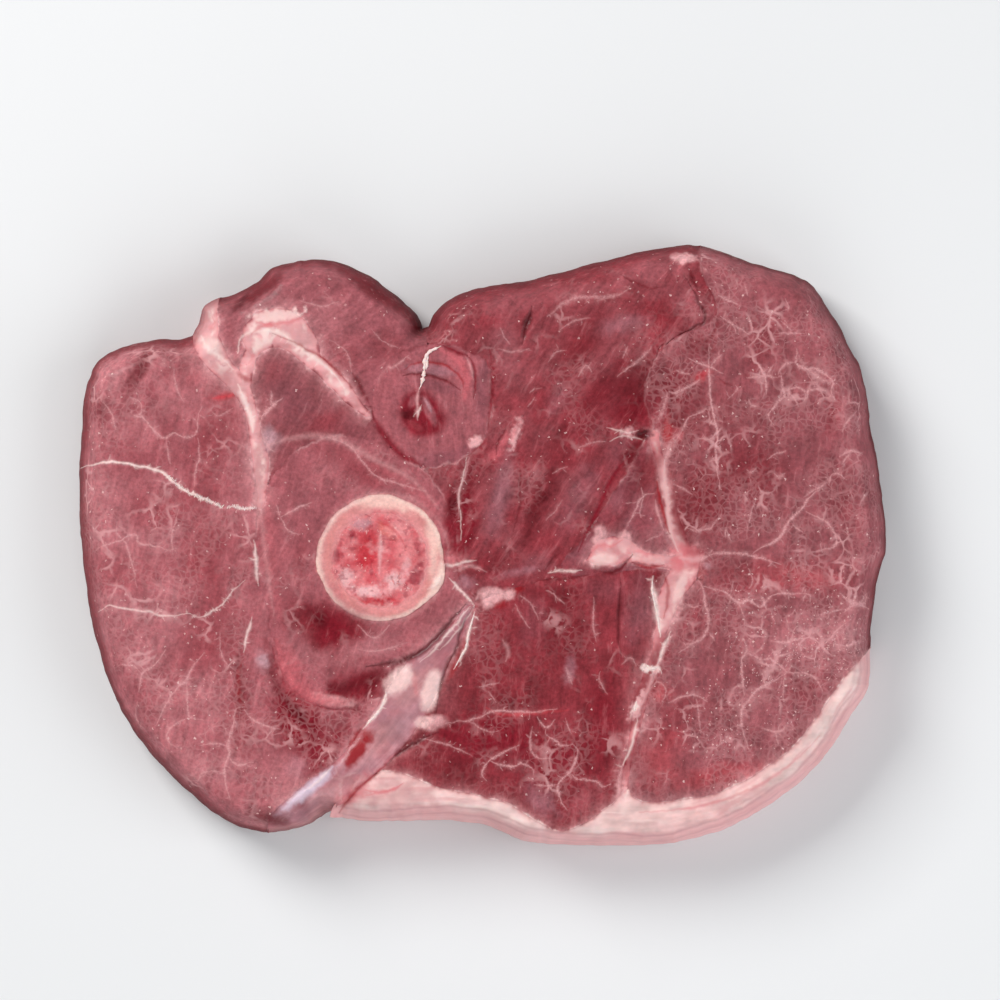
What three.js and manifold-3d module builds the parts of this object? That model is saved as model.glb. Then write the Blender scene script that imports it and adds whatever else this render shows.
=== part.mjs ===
// Raw bone-in lamb leg steak: one slice across the thigh, cut face up.
//
// The slice is a flat slab of muscles that lie side by side round the femur. Each muscle, the
// bone ring, its marrow, the outer fat and the thicker fat and fascia between the muscles run
// right through the slab, and each is its own closed solid. Natural seams part them.
//
// Frame: millimetres, +Z up. X runs along the slice's longer side, with the fat cover on the
// -Y side. The origin is below the middle of the slice, on the face it lies on.

import * as THREE from 'three';
import { mergeVertices } from 'three/addons/utils/BufferGeometryUtils.js';
import Module from 'manifold-3d';

const wasm = await Module();
wasm.setup();

// ---------------------------------------------------------------- driving dimensions (mm)

const THICKNESS = 19;          // a three-quarter-inch slice
const GIRTH_HEIGHT = 5;        // the side bulges most this far above the lower face
const SEAM_GAP = 0.35;         // clearance between neighbouring pieces
const OUTLINE_SPACING = 3.2;   // length of a facet round the rim
const SEAM_SPACING = 2.4;      // length of a facet along a seam
const FACE_SPACING = 6;        // size of a facet on the open cut face
const FACE_CLEARANCE = 3.7;    // the face's inner points keep this far from its edge
const PRISM_MARGIN = 5;        // a seam's cutter passes this far beyond both faces
const FLOW_STEP = 0.1;         // step of the inward flow that rounds the rim
const FAR = 1e4;               // a distance well outside the slice
const TOUCH = 1e-3;            // lengths and slopes below this count as nothing

const BONE_CENTRE = [-21.5, -2.5];
const BONE_RADIUS = 13.2;      // outside of the femur's wall
const BONE_WALL = 3;           // thickness of the wall, on average
const BONE_WALL_CHANGE = 0.16; // share by which it is thicker at the top than on average
const BONE_RIDGE = { height: 0.75, angle: 5.95, spread: 0.3 };
const BONE_PROUD = 0.25;       // how far the sawn bone stands above the lean
const BONE_EASE = 0.4;         // its eased edges
const BONE_FACETS = 48;

const MARROW_RECESS = 0.9;     // the marrow's cut face lies below the lean by this
const MARROW_LIFT = 0.35;      // and its lower face above the face that the slice lies on
const MARROW_LUMP = 0.2;       // height of each wave of its spongy surface
const MARROW_WAVES = [[1.1, 0.5], [-0.6, 1.3], [0.45, -0.9]]; // radians per mm along X and Y
const MARROW_RINGS = [1, 0.86, 0.7, 0.52, 0.34, 0.15];

// How the rim turns from its widest line to each cut face: distance in from the rim, height.
const SHOULDER = [
  [0, GIRTH_HEIGHT], [0.5, 8.6], [1.3, 12], [2.3, 15], [3.3, 17.1], [4.4, 18.4], [6.2, THICKNESS],
];
const LOWER_EDGE = [[2.6, 0], [1.4, 0.5], [0.5, 2]];

// Relief on the upper cut face.
const SEAM_SINK = 0.75;        // how far the muscles' edges sink towards a seam
const SEAM_SINK_REACH = 3.2;   // how far from the seam that fades
const FACE_WAVE = 0.18;        // height of each slow wave of the whole face
const FACE_WAVES = [[0.09, 0.02], [-0.04, 0.11]]; // radians per mm along X and Y
const SLIT = { centre: [-13.2, 27.6], radii: [3.6, 6], depth: 2.6, turn: -0.25 };
const CREASE_OVERHEAD = 2;     // a crease's cutter stands this far above the face
const CREASES = [
  // The thin fold that crosses the rolled muscle, and the curved edge of its outer layer.
  { path: [[-18.5, 36.2], [-14.5, 36.8], [-10, 35.6], [-6.2, 33.4]], width: 1.3, depth: 1.2 },
  { path: [[-9.5, 42.4], [-4.5, 40.2], [-2.2, 36.8], [-1.6, 32.5], [-2.6, 28]], width: 1.2, depth: 1.1 },
  // The edge of the flap at the top of the slice.
  { path: [[28.5, 59.5], [31.5, 56.6], [35.5, 55.3], [39.5, 55.2]], width: 1, depth: 0.8 },
];

// ---------------------------------------------------------------- outlines (mm, plan view)

// The slice's rim at its widest line, clockwise from the notch beside the upper lobe.
const RIM = [
  [-61.5, 44.5], [-58.5, 51], [-53, 53], [-48, 55.5], [-44, 59], [-30.5, 60], [-14, 48.5], [-12.5, 45],
  [-9, 51], [-0.5, 54.5], [11.5, 56.5], [43, 63.5], [59.5, 59], [69.5, 55.5], [72, 52], [80, 37],
  [82, 26], [85.5, 0], [83.5, -8], [82, -21], [81.5, -30], [78, -36], [70, -47.5], [56.5, -57.5],
  [43, -62.5], [9, -62.5], [-0.5, -59], [-29.5, -58], [-33.5, -57], [-37, -59], [-48.5, -60.5],
  [-59, -55], [-75.5, -37], [-83.5, -12.5], [-85.5, 17], [-82.5, 37.5], [-77.5, 41.5], [-69, 43.5],
];

// Muscles. Where two of these overlap, the one higher in PIECES keeps the ground, so an outline
// is followed closely only where nothing higher covers it.
const ROLLED_MUSCLE = [
  [-17.5, 40.5], [-12, 42], [-9, 42.5], [0, 39], [1.5, 36], [1, 25], [-1, 21], [-7.5, 17], [-14, 17],
  [-21.7, 24], [-23, 31.5], [-21, 37],
];
const BONE_WRAP_MUSCLE = [
  [-46.5, 9.5], [-38, 20.7], [-29, 22.7], [-20.5, 20.8], [-11, 14], [-6.7, 6.5], [-4.5, -9],
  [-1.5, -11.3], [-14, -25], [-17.5, -23], [-24, -30], [-27.5, -34], [-39, -31], [-44, -19.5],
  [-45, -13], [-46.5, -8],
];
const FRONT_MUSCLE = [
  [-49.5, 30], [-48, 39.7], [-45.5, 41.9], [-42, 41.8], [-31, 33.5], [-27, 30], [-22, 29], [-18, 24],
  [-20, 15], [-40, 12], [-46.4, 9], [-47, 16], [-47.8, 22.5],
];
const UPPER_LOBE_MUSCLE = [
  [-60, 66], [-12.3, 66], [-12.3, 45], [-11.5, 42.3], [-17, 32], [-20, 22], [-26, 28], [-38, 34],
  [-49, 35], [-56, 42], [-62, 50],
];
const OUTER_THIGH_MUSCLE = [
  [-92, 50], [-61, 46.5], [-58, 42], [-50.2, 33], [-46.5, 14], [-44, -14], [-38, -20], [-16, -20],
  [-14.5, -30], [-26, -46], [-44, -62], [-50, -70], [-92, -68],
];
const MIDDLE_WEDGE_MUSCLE = [
  [35.7, 24], [33, 19.5], [22.5, 3.5], [16.3, -5.6], [33, -4.7], [43, -4], [40.5, 5],
];
const UNDER_THIGH_MUSCLE = [
  [-6, -13], [0, -11.5], [8, -8.5], [33, -3.5], [40.5, -4], [38, -15], [36.5, -22], [34.5, -28],
  [29.8, -50], [29.5, -70], [-40, -70], [-20, -38],
];
const INNER_THIGH_MUSCLE = [
  [-12.2, 70], [-12.2, 45], [-11, 42.3], [-14, 30], [-18, 20], [-14, 0], [-6, -14], [20, -20], [33, -4],
  [36, 23.5], [34, 30.5], [34.5, 36], [39.5, 43.5], [48, 47.5], [49, 50.5], [46.5, 56], [45.5, 61],
  [45.5, 70],
];

// Outer fat: its inner edge from the slice's right side round to the fascia, closed outside the rim.
const FAT_COVER = [
  [84.5, -19.5], [81, -23], [77, -26.5], [66.5, -41], [54, -50], [45.5, -53], [32, -53.3], [30, -50.5],
  [28, -53.5], [16.5, -60.3], [14, -59.6], [4.5, -54], [-9, -51], [-20.5, -47.5], [-25.5, -51],
  [-31.5, -57], [-32.5, -64], [0, -70], [40, -70], [70, -58], [90, -36], [90, -19.5],
];

// Fat and fascia between the muscles, as strokes of [x, y, half-width].
const ARCH_STROKES = [
  [[-57.5, 54.5, 1.6], [-58.3, 48, 2.6], [-58, 43, 2.9], [-55, 38, 2.1], [-50.7, 33, 1.8],
    [-48.8, 28.5, 1.2], [-47.7, 22.5, 1.2], [-46.6, 18.5, 1.6], [-46.6, 14, 1.1], [-46.5, 8.5, 0.6]],
  [[-49.5, 30.5, 0.9], [-50, 35.5, 1.3], [-48.7, 40.5, 1.3], [-44.5, 43, 1.1], [-40.5, 42.5, 1.5],
    [-36, 39, 1.6], [-31, 35, 1.5], [-27, 30.5, 1.1], [-24, 27.5, 0.6]],
  [[-49, 42.5, 1.6], [-47.5, 45.5, 2.4], [-44.5, 46.8, 3], [-40, 46, 2.9], [-37, 43, 2], [-35.5, 39, 1.4]],
];
const STAR_STROKES = [
  [[44, -1.5, 1.6], [42.3, -5.5, 2.6], [39.7, -9.5, 2.2], [38, -15, 1.4], [36.5, -22, 0.8],
    [34.5, -28, 0.9], [33, -33.5, 1.1], [31.5, -40.5, 0.6], [29.6, -51, 0.6]],
  [[43, -4, 1.8], [40.6, 3.5, 1.2], [38.5, 12, 1.1], [37.3, 18, 0.8], [36, 23.5, 0.7]],
  [[43, -3.5, 1.3], [37, -3, 1.1], [32.5, -2.2, 1.3], [29, -1, 2.7], [26, -1.2, 3], [23.5, -2.2, 1.8]],
];
const FASCIA_STROKES = [
  [[-2.6, -12.8, 0.5], [-7, -19.5, 2], [-11.5, -25.5, 3.6], [-15.5, -32, 4.6], [-19.5, -38, 4.5],
    [-26, -46, 3.7], [-33, -51.7, 3.8], [-43, -59.5, 3.2]],
];

// ---------------------------------------------------------------- finishes

const finish = (color, roughness) => new THREE.MeshStandardMaterial({ color, roughness, metalness: 0 });
const LEAN = finish(0x9a4650, 0.42);
const LEAN_DARK = finish(0x7f2c3a, 0.4);
const LEAN_PALE = finish(0xa5565f, 0.42);
const FAT = finish(0xe6bcb8, 0.5);
const FASCIA = finish(0xc08a94, 0.35);
const BONE = finish(0xedbda6, 0.45);
const MARROW = finish(0xcb5b66, 0.4);

// ---------------------------------------------------------------- plan-view curves

/** The loop turned to run anticlockwise. */
const anticlockwise = (loop) => (THREE.ShapeUtils.area(loop) > 0 ? loop : loop.reverse());

/** A sum of straight waves over the plan. */
const waves = (list, x, y) => list.reduce((sum, [kx, ky]) => sum + Math.sin(kx * x + ky * y), 0);

/** Points along a smooth closed curve through the given ones, about one spacing apart. */
function closedLoop(points, spacing) {
  const corners = points.map(([x, y]) => new THREE.Vector3(x, y, 0));
  const curve = new THREE.CatmullRomCurve3(corners, true, 'centripetal');
  const count = Math.round(curve.getLength() / spacing);
  const loop = curve.getSpacedPoints(count).slice(0, count);
  return anticlockwise(loop.map((p) => new THREE.Vector2(p.x, p.y)));
}

/** The outline of a stroke: a smooth open path whose half-width changes along it, with pointed ends. */
function strokeLoop(stations, spacing, grow) {
  const path = stations.map(([x, y, halfWidth]) => new THREE.Vector3(x, y, halfWidth));
  const curve = new THREE.CatmullRomCurve3(path, false, 'centripetal');
  const steps = Math.round(curve.getLength() / spacing);
  const left = [];
  const right = [];
  for (let i = 0; i <= steps; i++) {
    const p = curve.getPointAt(i / steps);
    const along = curve.getTangentAt(i / steps).setZ(0).normalize();
    const half = p.z + grow;
    const tip = (sign) => new THREE.Vector2(p.x + sign * along.x * half, p.y + sign * along.y * half);
    if (i === 0) left.push(tip(-1));
    left.push(new THREE.Vector2(p.x - along.y * half, p.y + along.x * half));
    right.unshift(new THREE.Vector2(p.x + along.y * half, p.y - along.x * half));
    if (i === steps) left.push(tip(1));
  }
  return anticlockwise([...left, ...right]);
}

/** An anticlockwise loop moved outwards along its own normals, or inwards for a negative distance. */
function offsetLoop(loop, distance) {
  return loop.map((p, i) => {
    const before = loop[(i + loop.length - 1) % loop.length];
    const after = loop[(i + 1) % loop.length];
    const along = after.clone().sub(before).normalize();
    return new THREE.Vector2(p.x + along.y * distance, p.y - along.x * distance);
  });
}

/** The femur's section, inset from its outside: nearly round, with a low ridge down one side. */
function boneLoop(inset) {
  const isOutside = inset < BONE_WALL / 2;
  return Array.from({ length: BONE_FACETS }, (_, i) => {
    const angle = (i / BONE_FACETS) * 2 * Math.PI;
    const fromRidge = (angle - BONE_RIDGE.angle) / BONE_RIDGE.spread;
    const ridge = isOutside ? BONE_RIDGE.height * Math.exp(-(fromRidge ** 2)) : 0;
    const radius = BONE_RADIUS + ridge - inset * (1 + BONE_WALL_CHANGE * Math.sin(angle));
    const [x, y] = BONE_CENTRE;
    return new THREE.Vector2(x + radius * Math.cos(angle), y + radius * Math.sin(angle));
  });
}

/** Whether a plan point is inside a loop. */
function isInside(p, loop) {
  let inside = false;
  loop.forEach((a, i) => {
    const b = loop[(i + 1) % loop.length];
    const spans = a.y > p.y !== b.y > p.y;
    if (spans && p.x < ((b.x - a.x) * (p.y - a.y)) / (b.y - a.y) + a.x) inside = !inside;
  });
  return inside;
}

// ---------------------------------------------------------------- solids

/** A closed geometry as a solid. */
function toSolid(geometry) {
  const bare = new THREE.BufferGeometry().setAttribute('position', geometry.getAttribute('position'));
  const merged = mergeVertices(bare.setIndex(geometry.index), TOUCH);
  return new wasm.Manifold(new wasm.Mesh({
    numProp: 3,
    vertProperties: new Float32Array(merged.attributes.position.array),
    triVerts: new Uint32Array(merged.index.array),
  }));
}

/** A solid's largest body, which leaves out loose scraps. */
function largestBody(solid) {
  return solid.decompose().sort((a, b) => b.volume() - a.volume())[0];
}

/** An upright cutter with the loop's outline, passing through the whole slab. */
function prism(loop) {
  const depth = THICKNESS + 2 * PRISM_MARGIN;
  const geometry = new THREE.ExtrudeGeometry(new THREE.Shape(loop), { depth, steps: 1, bevelEnabled: false });
  return toSolid(geometry.translate(0, 0, -PRISM_MARGIN));
}

/** An indexed geometry from its points and triangles. */
function geometryOf(points, index) {
  const positions = points.flatMap((p) => [p.x, p.y, p.z]);
  const geometry = new THREE.BufferGeometry();
  geometry.setAttribute('position', new THREE.Float32BufferAttribute(positions, 3));
  return geometry.setIndex(index);
}

/** The faces between anticlockwise loops of equal length, which face out where the loops rise. */
function sideFaces(loopCount, count, closed = false) {
  const index = [];
  for (let k = 0; k < (closed ? loopCount : loopCount - 1); k++) {
    const next = (k + 1) % loopCount;
    for (let i = 0; i < count; i++) {
      const j = (i + 1) % count;
      index.push(k * count + i, k * count + j, next * count + j);
      index.push(k * count + i, next * count + j, next * count + i);
    }
  }
  return index;
}

/** Triangles that fill a loop, as positions in it, facing up or down. */
function fillLoop(loop, up) {
  const triangles = THREE.ShapeUtils.triangulateShape(loop, []);
  return triangles.flatMap(([a, b, c]) => (up ? [a, b, c] : [a, c, b]));
}

// ---------------------------------------------------------------- the whole slice

/** A smooth inward direction at each plan point: the rim's normals, weighted by nearness. */
function inwardField(rim) {
  const normals = offsetLoop(rim, -1).map((p, i) => p.sub(rim[i]));
  return (point) => {
    const sum = new THREE.Vector2();
    let total = 0;
    rim.forEach((p, i) => {
      const weight = 1 / (p.distanceToSquared(point) + 1) ** 2;
      sum.addScaledVector(normals[i], weight);
      total += weight;
    });
    return sum.divideScalar(total);
  };
}

/** The loop carried inwards by the field, in short steps so that it never crosses itself. */
function flowInwards(loop, field, distance) {
  const steps = Math.round(distance / FLOW_STEP);
  return loop.map((start) => {
    const p = start.clone();
    for (let i = 0; i < steps; i++) p.addScaledVector(field(p), FLOW_STEP);
    return p;
  });
}

/** Delaunay triangles of plan points, by adding the points one at a time. Each runs anticlockwise. */
function delaunay(points) {
  const outer = [[-FAR, -FAR], [FAR, -FAR], [0, FAR]].map(([x, y]) => new THREE.Vector2(x, y));
  const all = [...points, ...outer];
  const withCircle = (a, b, c) => {
    const [p, q, r] = [all[a], all[b], all[c]];
    const d = 2 * (p.x * (q.y - r.y) + q.x * (r.y - p.y) + r.x * (p.y - q.y));
    const [pp, qq, rr] = [p.lengthSq(), q.lengthSq(), r.lengthSq()];
    const centre = new THREE.Vector2(
      (pp * (q.y - r.y) + qq * (r.y - p.y) + rr * (p.y - q.y)) / d,
      (pp * (r.x - q.x) + qq * (p.x - r.x) + rr * (q.x - p.x)) / d,
    );
    return { corners: [a, b, c], centre, radiusSq: centre.distanceToSquared(p) };
  };
  let triangles = [withCircle(points.length, points.length + 1, points.length + 2)];
  points.forEach((p, i) => {
    const isHit = (t) => t.centre.distanceToSquared(p) < t.radiusSq;
    const edges = new Map();
    for (const { corners: [a, b, c] } of triangles.filter(isHit)) {
      for (const [u, v] of [[a, b], [b, c], [c, a]]) {
        if (!edges.delete(`${v},${u}`)) edges.set(`${u},${v}`, [u, v]);
      }
    }
    triangles = triangles.filter((t) => !isHit(t));
    for (const [u, v] of edges.values()) triangles.push(withCircle(u, v, i));
  });
  return triangles.map((t) => t.corners).filter((corners) => Math.max(...corners) < points.length);
}

/** Points of a triangular grid that lie inside a loop and clear of its edge. */
function gridInside(loop) {
  const box = new THREE.Box2().setFromPoints(loop);
  const rowHeight = FACE_SPACING * Math.sqrt(0.75);
  const points = [];
  for (let row = 0; box.min.y + row * rowHeight < box.max.y; row++) {
    const shift = (row % 2) * FACE_SPACING * 0.5;
    for (let x = box.min.x + shift; x < box.max.x; x += FACE_SPACING) {
      const p = new THREE.Vector2(x, box.min.y + row * rowHeight);
      if (isInside(p, loop) && loop.every((q) => q.distanceTo(p) > FACE_CLEARANCE)) points.push(p);
    }
  }
  return points;
}

/** The whole slice as one solid: a flat lower face, a bulging rim with round edges, and the cut face. */
function makeSlab() {
  const rim = closedLoop(RIM, OUTLINE_SPACING);
  const field = inwardField(rim);
  const stations = [...LOWER_EDGE, ...SHOULDER];
  const loops = stations.map(([inset]) => flowInwards(rim, field, inset));
  const points = loops.flatMap((loop, k) => loop.map((p) => new THREE.Vector3(p.x, p.y, stations[k][1])));
  const top = loops.at(-1);
  const facePoints = [...top, ...gridInside(top)];
  points.push(...facePoints.slice(top.length).map((p) => new THREE.Vector3(p.x, p.y, THICKNESS)));
  const face = delaunay(facePoints).filter(([a, b, c]) => {
    const middle = facePoints[a].clone().add(facePoints[b]).add(facePoints[c]).divideScalar(3);
    return isInside(middle, top);
  });
  const firstOfTop = (loops.length - 1) * rim.length;
  return toSolid(geometryOf(points, [
    ...sideFaces(loops.length, rim.length),
    ...fillLoop(loops[0], false),
    ...face.flat().map((i) => firstOfTop + i),
  ]));
}

// ---------------------------------------------------------------- bone and marrow

/** The femur's wall: a ring with eased edges that stands a little proud of the lean. */
function makeBoneRing() {
  const sawn = THICKNESS + BONE_PROUD;
  const stations = [
    [BONE_WALL, BONE_EASE], [BONE_WALL - BONE_EASE, 0], [BONE_EASE, 0], [0, BONE_EASE],
    [0, sawn - BONE_EASE], [BONE_EASE, sawn], [BONE_WALL - BONE_EASE, sawn], [BONE_WALL, sawn - BONE_EASE],
  ];
  const points = stations.flatMap(([inset, z]) => boneLoop(inset).map((p) => new THREE.Vector3(p.x, p.y, z)));
  return toSolid(geometryOf(points, sideFaces(stations.length, BONE_FACETS, true)));
}

/** The marrow: a plug inside the bone, its cut face sunk and lumpy with spongy bone. */
function makeMarrow() {
  const outer = boneLoop(BONE_WALL + SEAM_GAP);
  const shrink = (share) => outer.map((p) => new THREE.Vector2(...BONE_CENTRE).lerp(p, share));
  const upper = MARROW_RINGS.flatMap((share) => shrink(share).map(({ x, y }) => {
    const lump = share < 1 ? MARROW_LUMP * waves(MARROW_WAVES, x, y) : 0;
    return new THREE.Vector3(x, y, THICKNESS - MARROW_RECESS + lump);
  }));
  const lower = outer.map((p) => new THREE.Vector3(p.x, p.y, MARROW_LIFT));
  const firstOfMiddle = MARROW_RINGS.length * BONE_FACETS;
  return toSolid(geometryOf([...lower, ...upper], [
    ...sideFaces(MARROW_RINGS.length + 1, BONE_FACETS),
    ...fillLoop(outer, false),
    ...fillLoop(shrink(MARROW_RINGS.at(-1)), true).map((i) => firstOfMiddle + i),
  ]));
}

// ---------------------------------------------------------------- relief on the cut face

/** A trough along a path on the cut face, to be cut away. */
function crease({ path, width, depth }) {
  const curve = new THREE.CatmullRomCurve3(path.map(([x, y]) => new THREE.Vector3(x, y, THICKNESS)));
  const half = width / 2;
  const section = new THREE.Shape([
    new THREE.Vector2(0, -half), new THREE.Vector2(depth, 0), new THREE.Vector2(0, half),
    new THREE.Vector2(-CREASE_OVERHEAD, half), new THREE.Vector2(-CREASE_OVERHEAD, -half),
  ]);
  const steps = 3 * path.length;
  return toSolid(new THREE.ExtrudeGeometry(section, { steps, extrudePath: curve, bevelEnabled: false }));
}

/** The hollow in the rolled muscle: a flattened ball sunk into the cut face. */
function slitHollow() {
  const ball = new THREE.SphereGeometry(1, 20, 12).rotateX(Math.PI / 2);
  ball.scale(SLIT.radii[0], SLIT.radii[1], SLIT.depth).rotateZ(SLIT.turn);
  return toSolid(ball.translate(...SLIT.centre, THICKNESS));
}

/** The corners of a solid's upright seam walls, where these reach the cut face. */
function seamCorners(positions, index) {
  const seam = [];
  for (let i = 0; i < index.length; i += 3) {
    const corners = [0, 1, 2].map((k) => new THREE.Vector3().fromArray(positions, 3 * index[i + k]));
    const normal = new THREE.Triangle(...corners).getNormal(new THREE.Vector3());
    const reachesFace = corners.some((p) => p.z > THICKNESS - TOUCH);
    if (Math.abs(normal.z) < TOUCH && reachesFace) seam.push(...corners);
  }
  return seam;
}

/** A solid's geometry with its cut face uneven, lifted by its own amount and sunk towards its seams. */
function withRelief(solid, { lift = 0, sink = SEAM_SINK }) {
  const { vertProperties, triVerts } = solid.getMesh();
  const positions = Array.from(vertProperties);
  const seam = seamCorners(positions, triVerts);
  for (let i = 0; i < positions.length; i += 3) {
    const [x, y, z] = positions.slice(i, i + 3);
    const nearest = Math.min(...seam.map((p) => Math.hypot(p.x - x, p.y - y)), FAR);
    const share = THREE.MathUtils.smoothstep(z, GIRTH_HEIGHT, THICKNESS);
    const sunk = sink * Math.exp(-nearest / SEAM_SINK_REACH);
    positions[i + 2] += share * (lift + FACE_WAVE * waves(FACE_WAVES, x, y) - sunk);
  }
  const geometry = new THREE.BufferGeometry();
  geometry.setAttribute('position', new THREE.Float32BufferAttribute(positions, 3));
  return geometry.setIndex(Array.from(triVerts));
}

// ---------------------------------------------------------------- the pieces

// Each piece takes its ground from what the pieces before it leave, and the last takes the rest.
const PIECES = [
  { name: 'fat_arch', strokes: ARCH_STROKES, material: FAT, sink: 0.2, lift: 0.1 },
  { name: 'fat_star', strokes: STAR_STROKES, material: FAT, sink: 0.2, lift: -0.2 },
  { name: 'fascia_band', strokes: FASCIA_STROKES, material: FASCIA, sink: 0.1, lift: 0.5 },
  { name: 'fat_cover', outline: FAT_COVER, material: FAT, sink: 0.1 },
  { name: 'muscle_rolled', outline: ROLLED_MUSCLE, material: LEAN_PALE, lift: 0.5 },
  { name: 'muscle_bone_wrap', outline: BONE_WRAP_MUSCLE, material: LEAN, lift: 0.1 },
  { name: 'muscle_front', outline: FRONT_MUSCLE, material: LEAN, lift: -0.1 },
  { name: 'muscle_upper_lobe', outline: UPPER_LOBE_MUSCLE, material: LEAN_PALE },
  { name: 'muscle_outer_thigh', outline: OUTER_THIGH_MUSCLE, material: LEAN },
  { name: 'muscle_middle_wedge', outline: MIDDLE_WEDGE_MUSCLE, material: LEAN_DARK },
  { name: 'muscle_under_thigh', outline: UNDER_THIGH_MUSCLE, material: LEAN_DARK },
  { name: 'muscle_inner_thigh', outline: INNER_THIGH_MUSCLE, material: LEAN_DARK },
];
const LAST_PIECE = { name: 'muscle_back_thigh', material: LEAN };

/** A piece's cutter, grown by a clearance. */
function cutter({ strokes, outline }, grow) {
  const loops = strokes
    ? strokes.map((stroke) => strokeLoop(stroke, SEAM_SPACING, grow))
    : [offsetLoop(closedLoop(outline, SEAM_SPACING), grow)];
  return loops.map(prism).reduce((all, solid) => all.add(solid));
}

/** The whole steak. */
function makeSteak() {
  const steak = new THREE.Group();
  steak.name = 'lamb_leg_steak';
  const add = (solid, { name, material, ...relief }) => {
    const mesh = new THREE.Mesh(withRelief(solid, relief), material);
    mesh.name = name;
    steak.add(mesh);
  };
  add(makeBoneRing(), { name: 'femur_ring', material: BONE, sink: 0 });
  add(makeMarrow(), { name: 'marrow', material: MARROW, sink: 0 });

  let rest = makeSlab().subtract(prism(boneLoop(-SEAM_GAP)));
  for (const hollow of [slitHollow(), ...CREASES.map(crease)]) rest = rest.subtract(hollow);
  for (const piece of PIECES) {
    add(largestBody(rest.intersect(cutter(piece, 0))), piece);
    rest = rest.subtract(cutter(piece, SEAM_GAP));
  }
  add(largestBody(rest), LAST_PIECE);
  return steak;
}

export default makeSteak();
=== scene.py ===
"""Raw lamb leg steak: the visible skin of every muscle, fat, fascia, bone and marrow piece.

Each piece is one closed mesh over the plan of its solid: a dense cut face with seams, folds, veins and
lumps as relief, a rounded rim, and a plainer lower face. Colours are painted on the points by soft patches
and strokes, some of them painted shade in grooves, hollows and on the sides and a few painted highlights,
and the fine grain, marbling and wet gloss come from the materials.

Lengths are in millimetres until a mesh is made. Places on the cut face are given as pixels of the
photograph, which looks straight down: one pixel is PIXEL millimetres on the face.
"""
import logging
import math
from dataclasses import dataclass, field
from enum import Enum
from itertools import product

import bpy
import numpy as np
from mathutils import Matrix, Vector
from mathutils.geometry import delaunay_2d_cdt
from mathutils.kdtree import KDTree


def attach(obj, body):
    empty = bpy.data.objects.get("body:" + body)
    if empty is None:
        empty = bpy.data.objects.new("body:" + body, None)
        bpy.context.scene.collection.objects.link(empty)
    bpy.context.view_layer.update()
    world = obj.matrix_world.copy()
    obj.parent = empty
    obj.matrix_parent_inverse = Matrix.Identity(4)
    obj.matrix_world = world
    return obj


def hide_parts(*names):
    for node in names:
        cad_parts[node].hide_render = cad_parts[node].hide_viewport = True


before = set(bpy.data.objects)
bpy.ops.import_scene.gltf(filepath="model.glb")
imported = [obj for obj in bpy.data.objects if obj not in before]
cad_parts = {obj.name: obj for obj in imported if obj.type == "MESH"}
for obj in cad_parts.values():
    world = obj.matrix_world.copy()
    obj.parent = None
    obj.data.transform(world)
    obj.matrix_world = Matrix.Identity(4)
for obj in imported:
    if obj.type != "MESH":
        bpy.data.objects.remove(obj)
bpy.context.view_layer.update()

log = logging.getLogger("steak")

MM = 0.001                       # one millimetre in metres
PIXEL = 0.21                     # millimetres that one pixel of the photograph covers
ORIGIN_PIXEL = (482.75, 546.0)   # the photograph's pixel over the frame's origin

THICKNESS = 19.0                 # of the slice
GIRTH_HEIGHT = 5.0               # height at which the slice is widest
SHOULDER = ((0, 5), (0.5, 8.6), (1.3, 12), (2.3, 15), (3.3, 17.1), (4.4, 18.4), (6.2, 19))
LOWER_EDGE = ((0, 5), (0.14, 3.4), (0.5, 2), (1.4, 0.5), (2.6, 0.0))
FACE_WAVE = 0.18                 # height of each slow wave of the whole face
FACE_WAVES = ((0.09, 0.02), (-0.04, 0.11))  # radians per mm along X and Y

SLICE_HEIGHT = GIRTH_HEIGHT + 0.01  # where the solids are sliced for their plans
SEAM_GAP = 0.35                  # between neighbouring solids
SLIT = (337, 809)                # pixel of the slit by the fascia's end
SLIT_REACH = 2.7                 # how far round the slit its edges are drawn together
SKIN_OVERLAP = 0.08              # of neighbouring skins at a seam
RIM_GAP = 0.55                   # an outline point further than this from all neighbours may be on the rim
RIM_RUN = 6.0                    # a stretch of such points is rim if it is at least this long
OUTLINE_STEP = 0.36              # between points along an outline
FACE_STEP = 0.3                  # between points of the cut face
LOWER_STEP = 0.8                 # between points of the lower face
RIM_ROWS = (0.05, 0.13, 0.24, 0.38, 0.55, 0.76, 1.0, 1.3, 1.65, 2.05, 2.5, 3.0)  # insets of the rim's rows
CREASE_ROWS = (0.1, 0.24, 0.42)  # insets of the rows beside a seam
CORNER_TURN = 48.0               # degrees of turn above which an outline keeps a sharp corner
WALL_ROWS = 3                    # rows of points between the cut face and the lower face
EDGE_ROOM = 0.5                  # that inner points keep from the outline
ROW_ROOM = 0.045                 # that a rim's or a seam's rows keep from it
FINE_ROOM = 0.11                 # between points along the strokes
LOWER_ROWS_REACH = 2.7           # how far from the rim the lower face has the rim's rows
FAR_AWAY = 999.0                 # a place that no piece reaches
PATCH_REACH = 2.2                # in half sizes, beyond which a patch paints nothing
THREAD_REACH = 2.6               # in widths, beyond which a thread paints nothing
NET_WIDTH = 0.13                 # of the marbling's threads, as a share of a cell
# each layer's share, its cells' count against the first's, and the scale and floor of its gaps
NET_LAYERS = ((1.0, 1.0, 110.0, 0.6), (0.5, 2.0, 170.0, 0.64), (0.3, 2.9, 90.0, 0.5))
OWN_SEED, MARBLING_SEED, SPOT_SEED, ACROSS_SEED = 50, 70, 90, 150  # of each kind's first oval
WANDER = ((0.22, 4.2, 11), (0.09, 1.4, 12))  # size, scale and seed of the outlines' small wobble


# ---------------------------------------------------------------------------------------------- small maths

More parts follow.
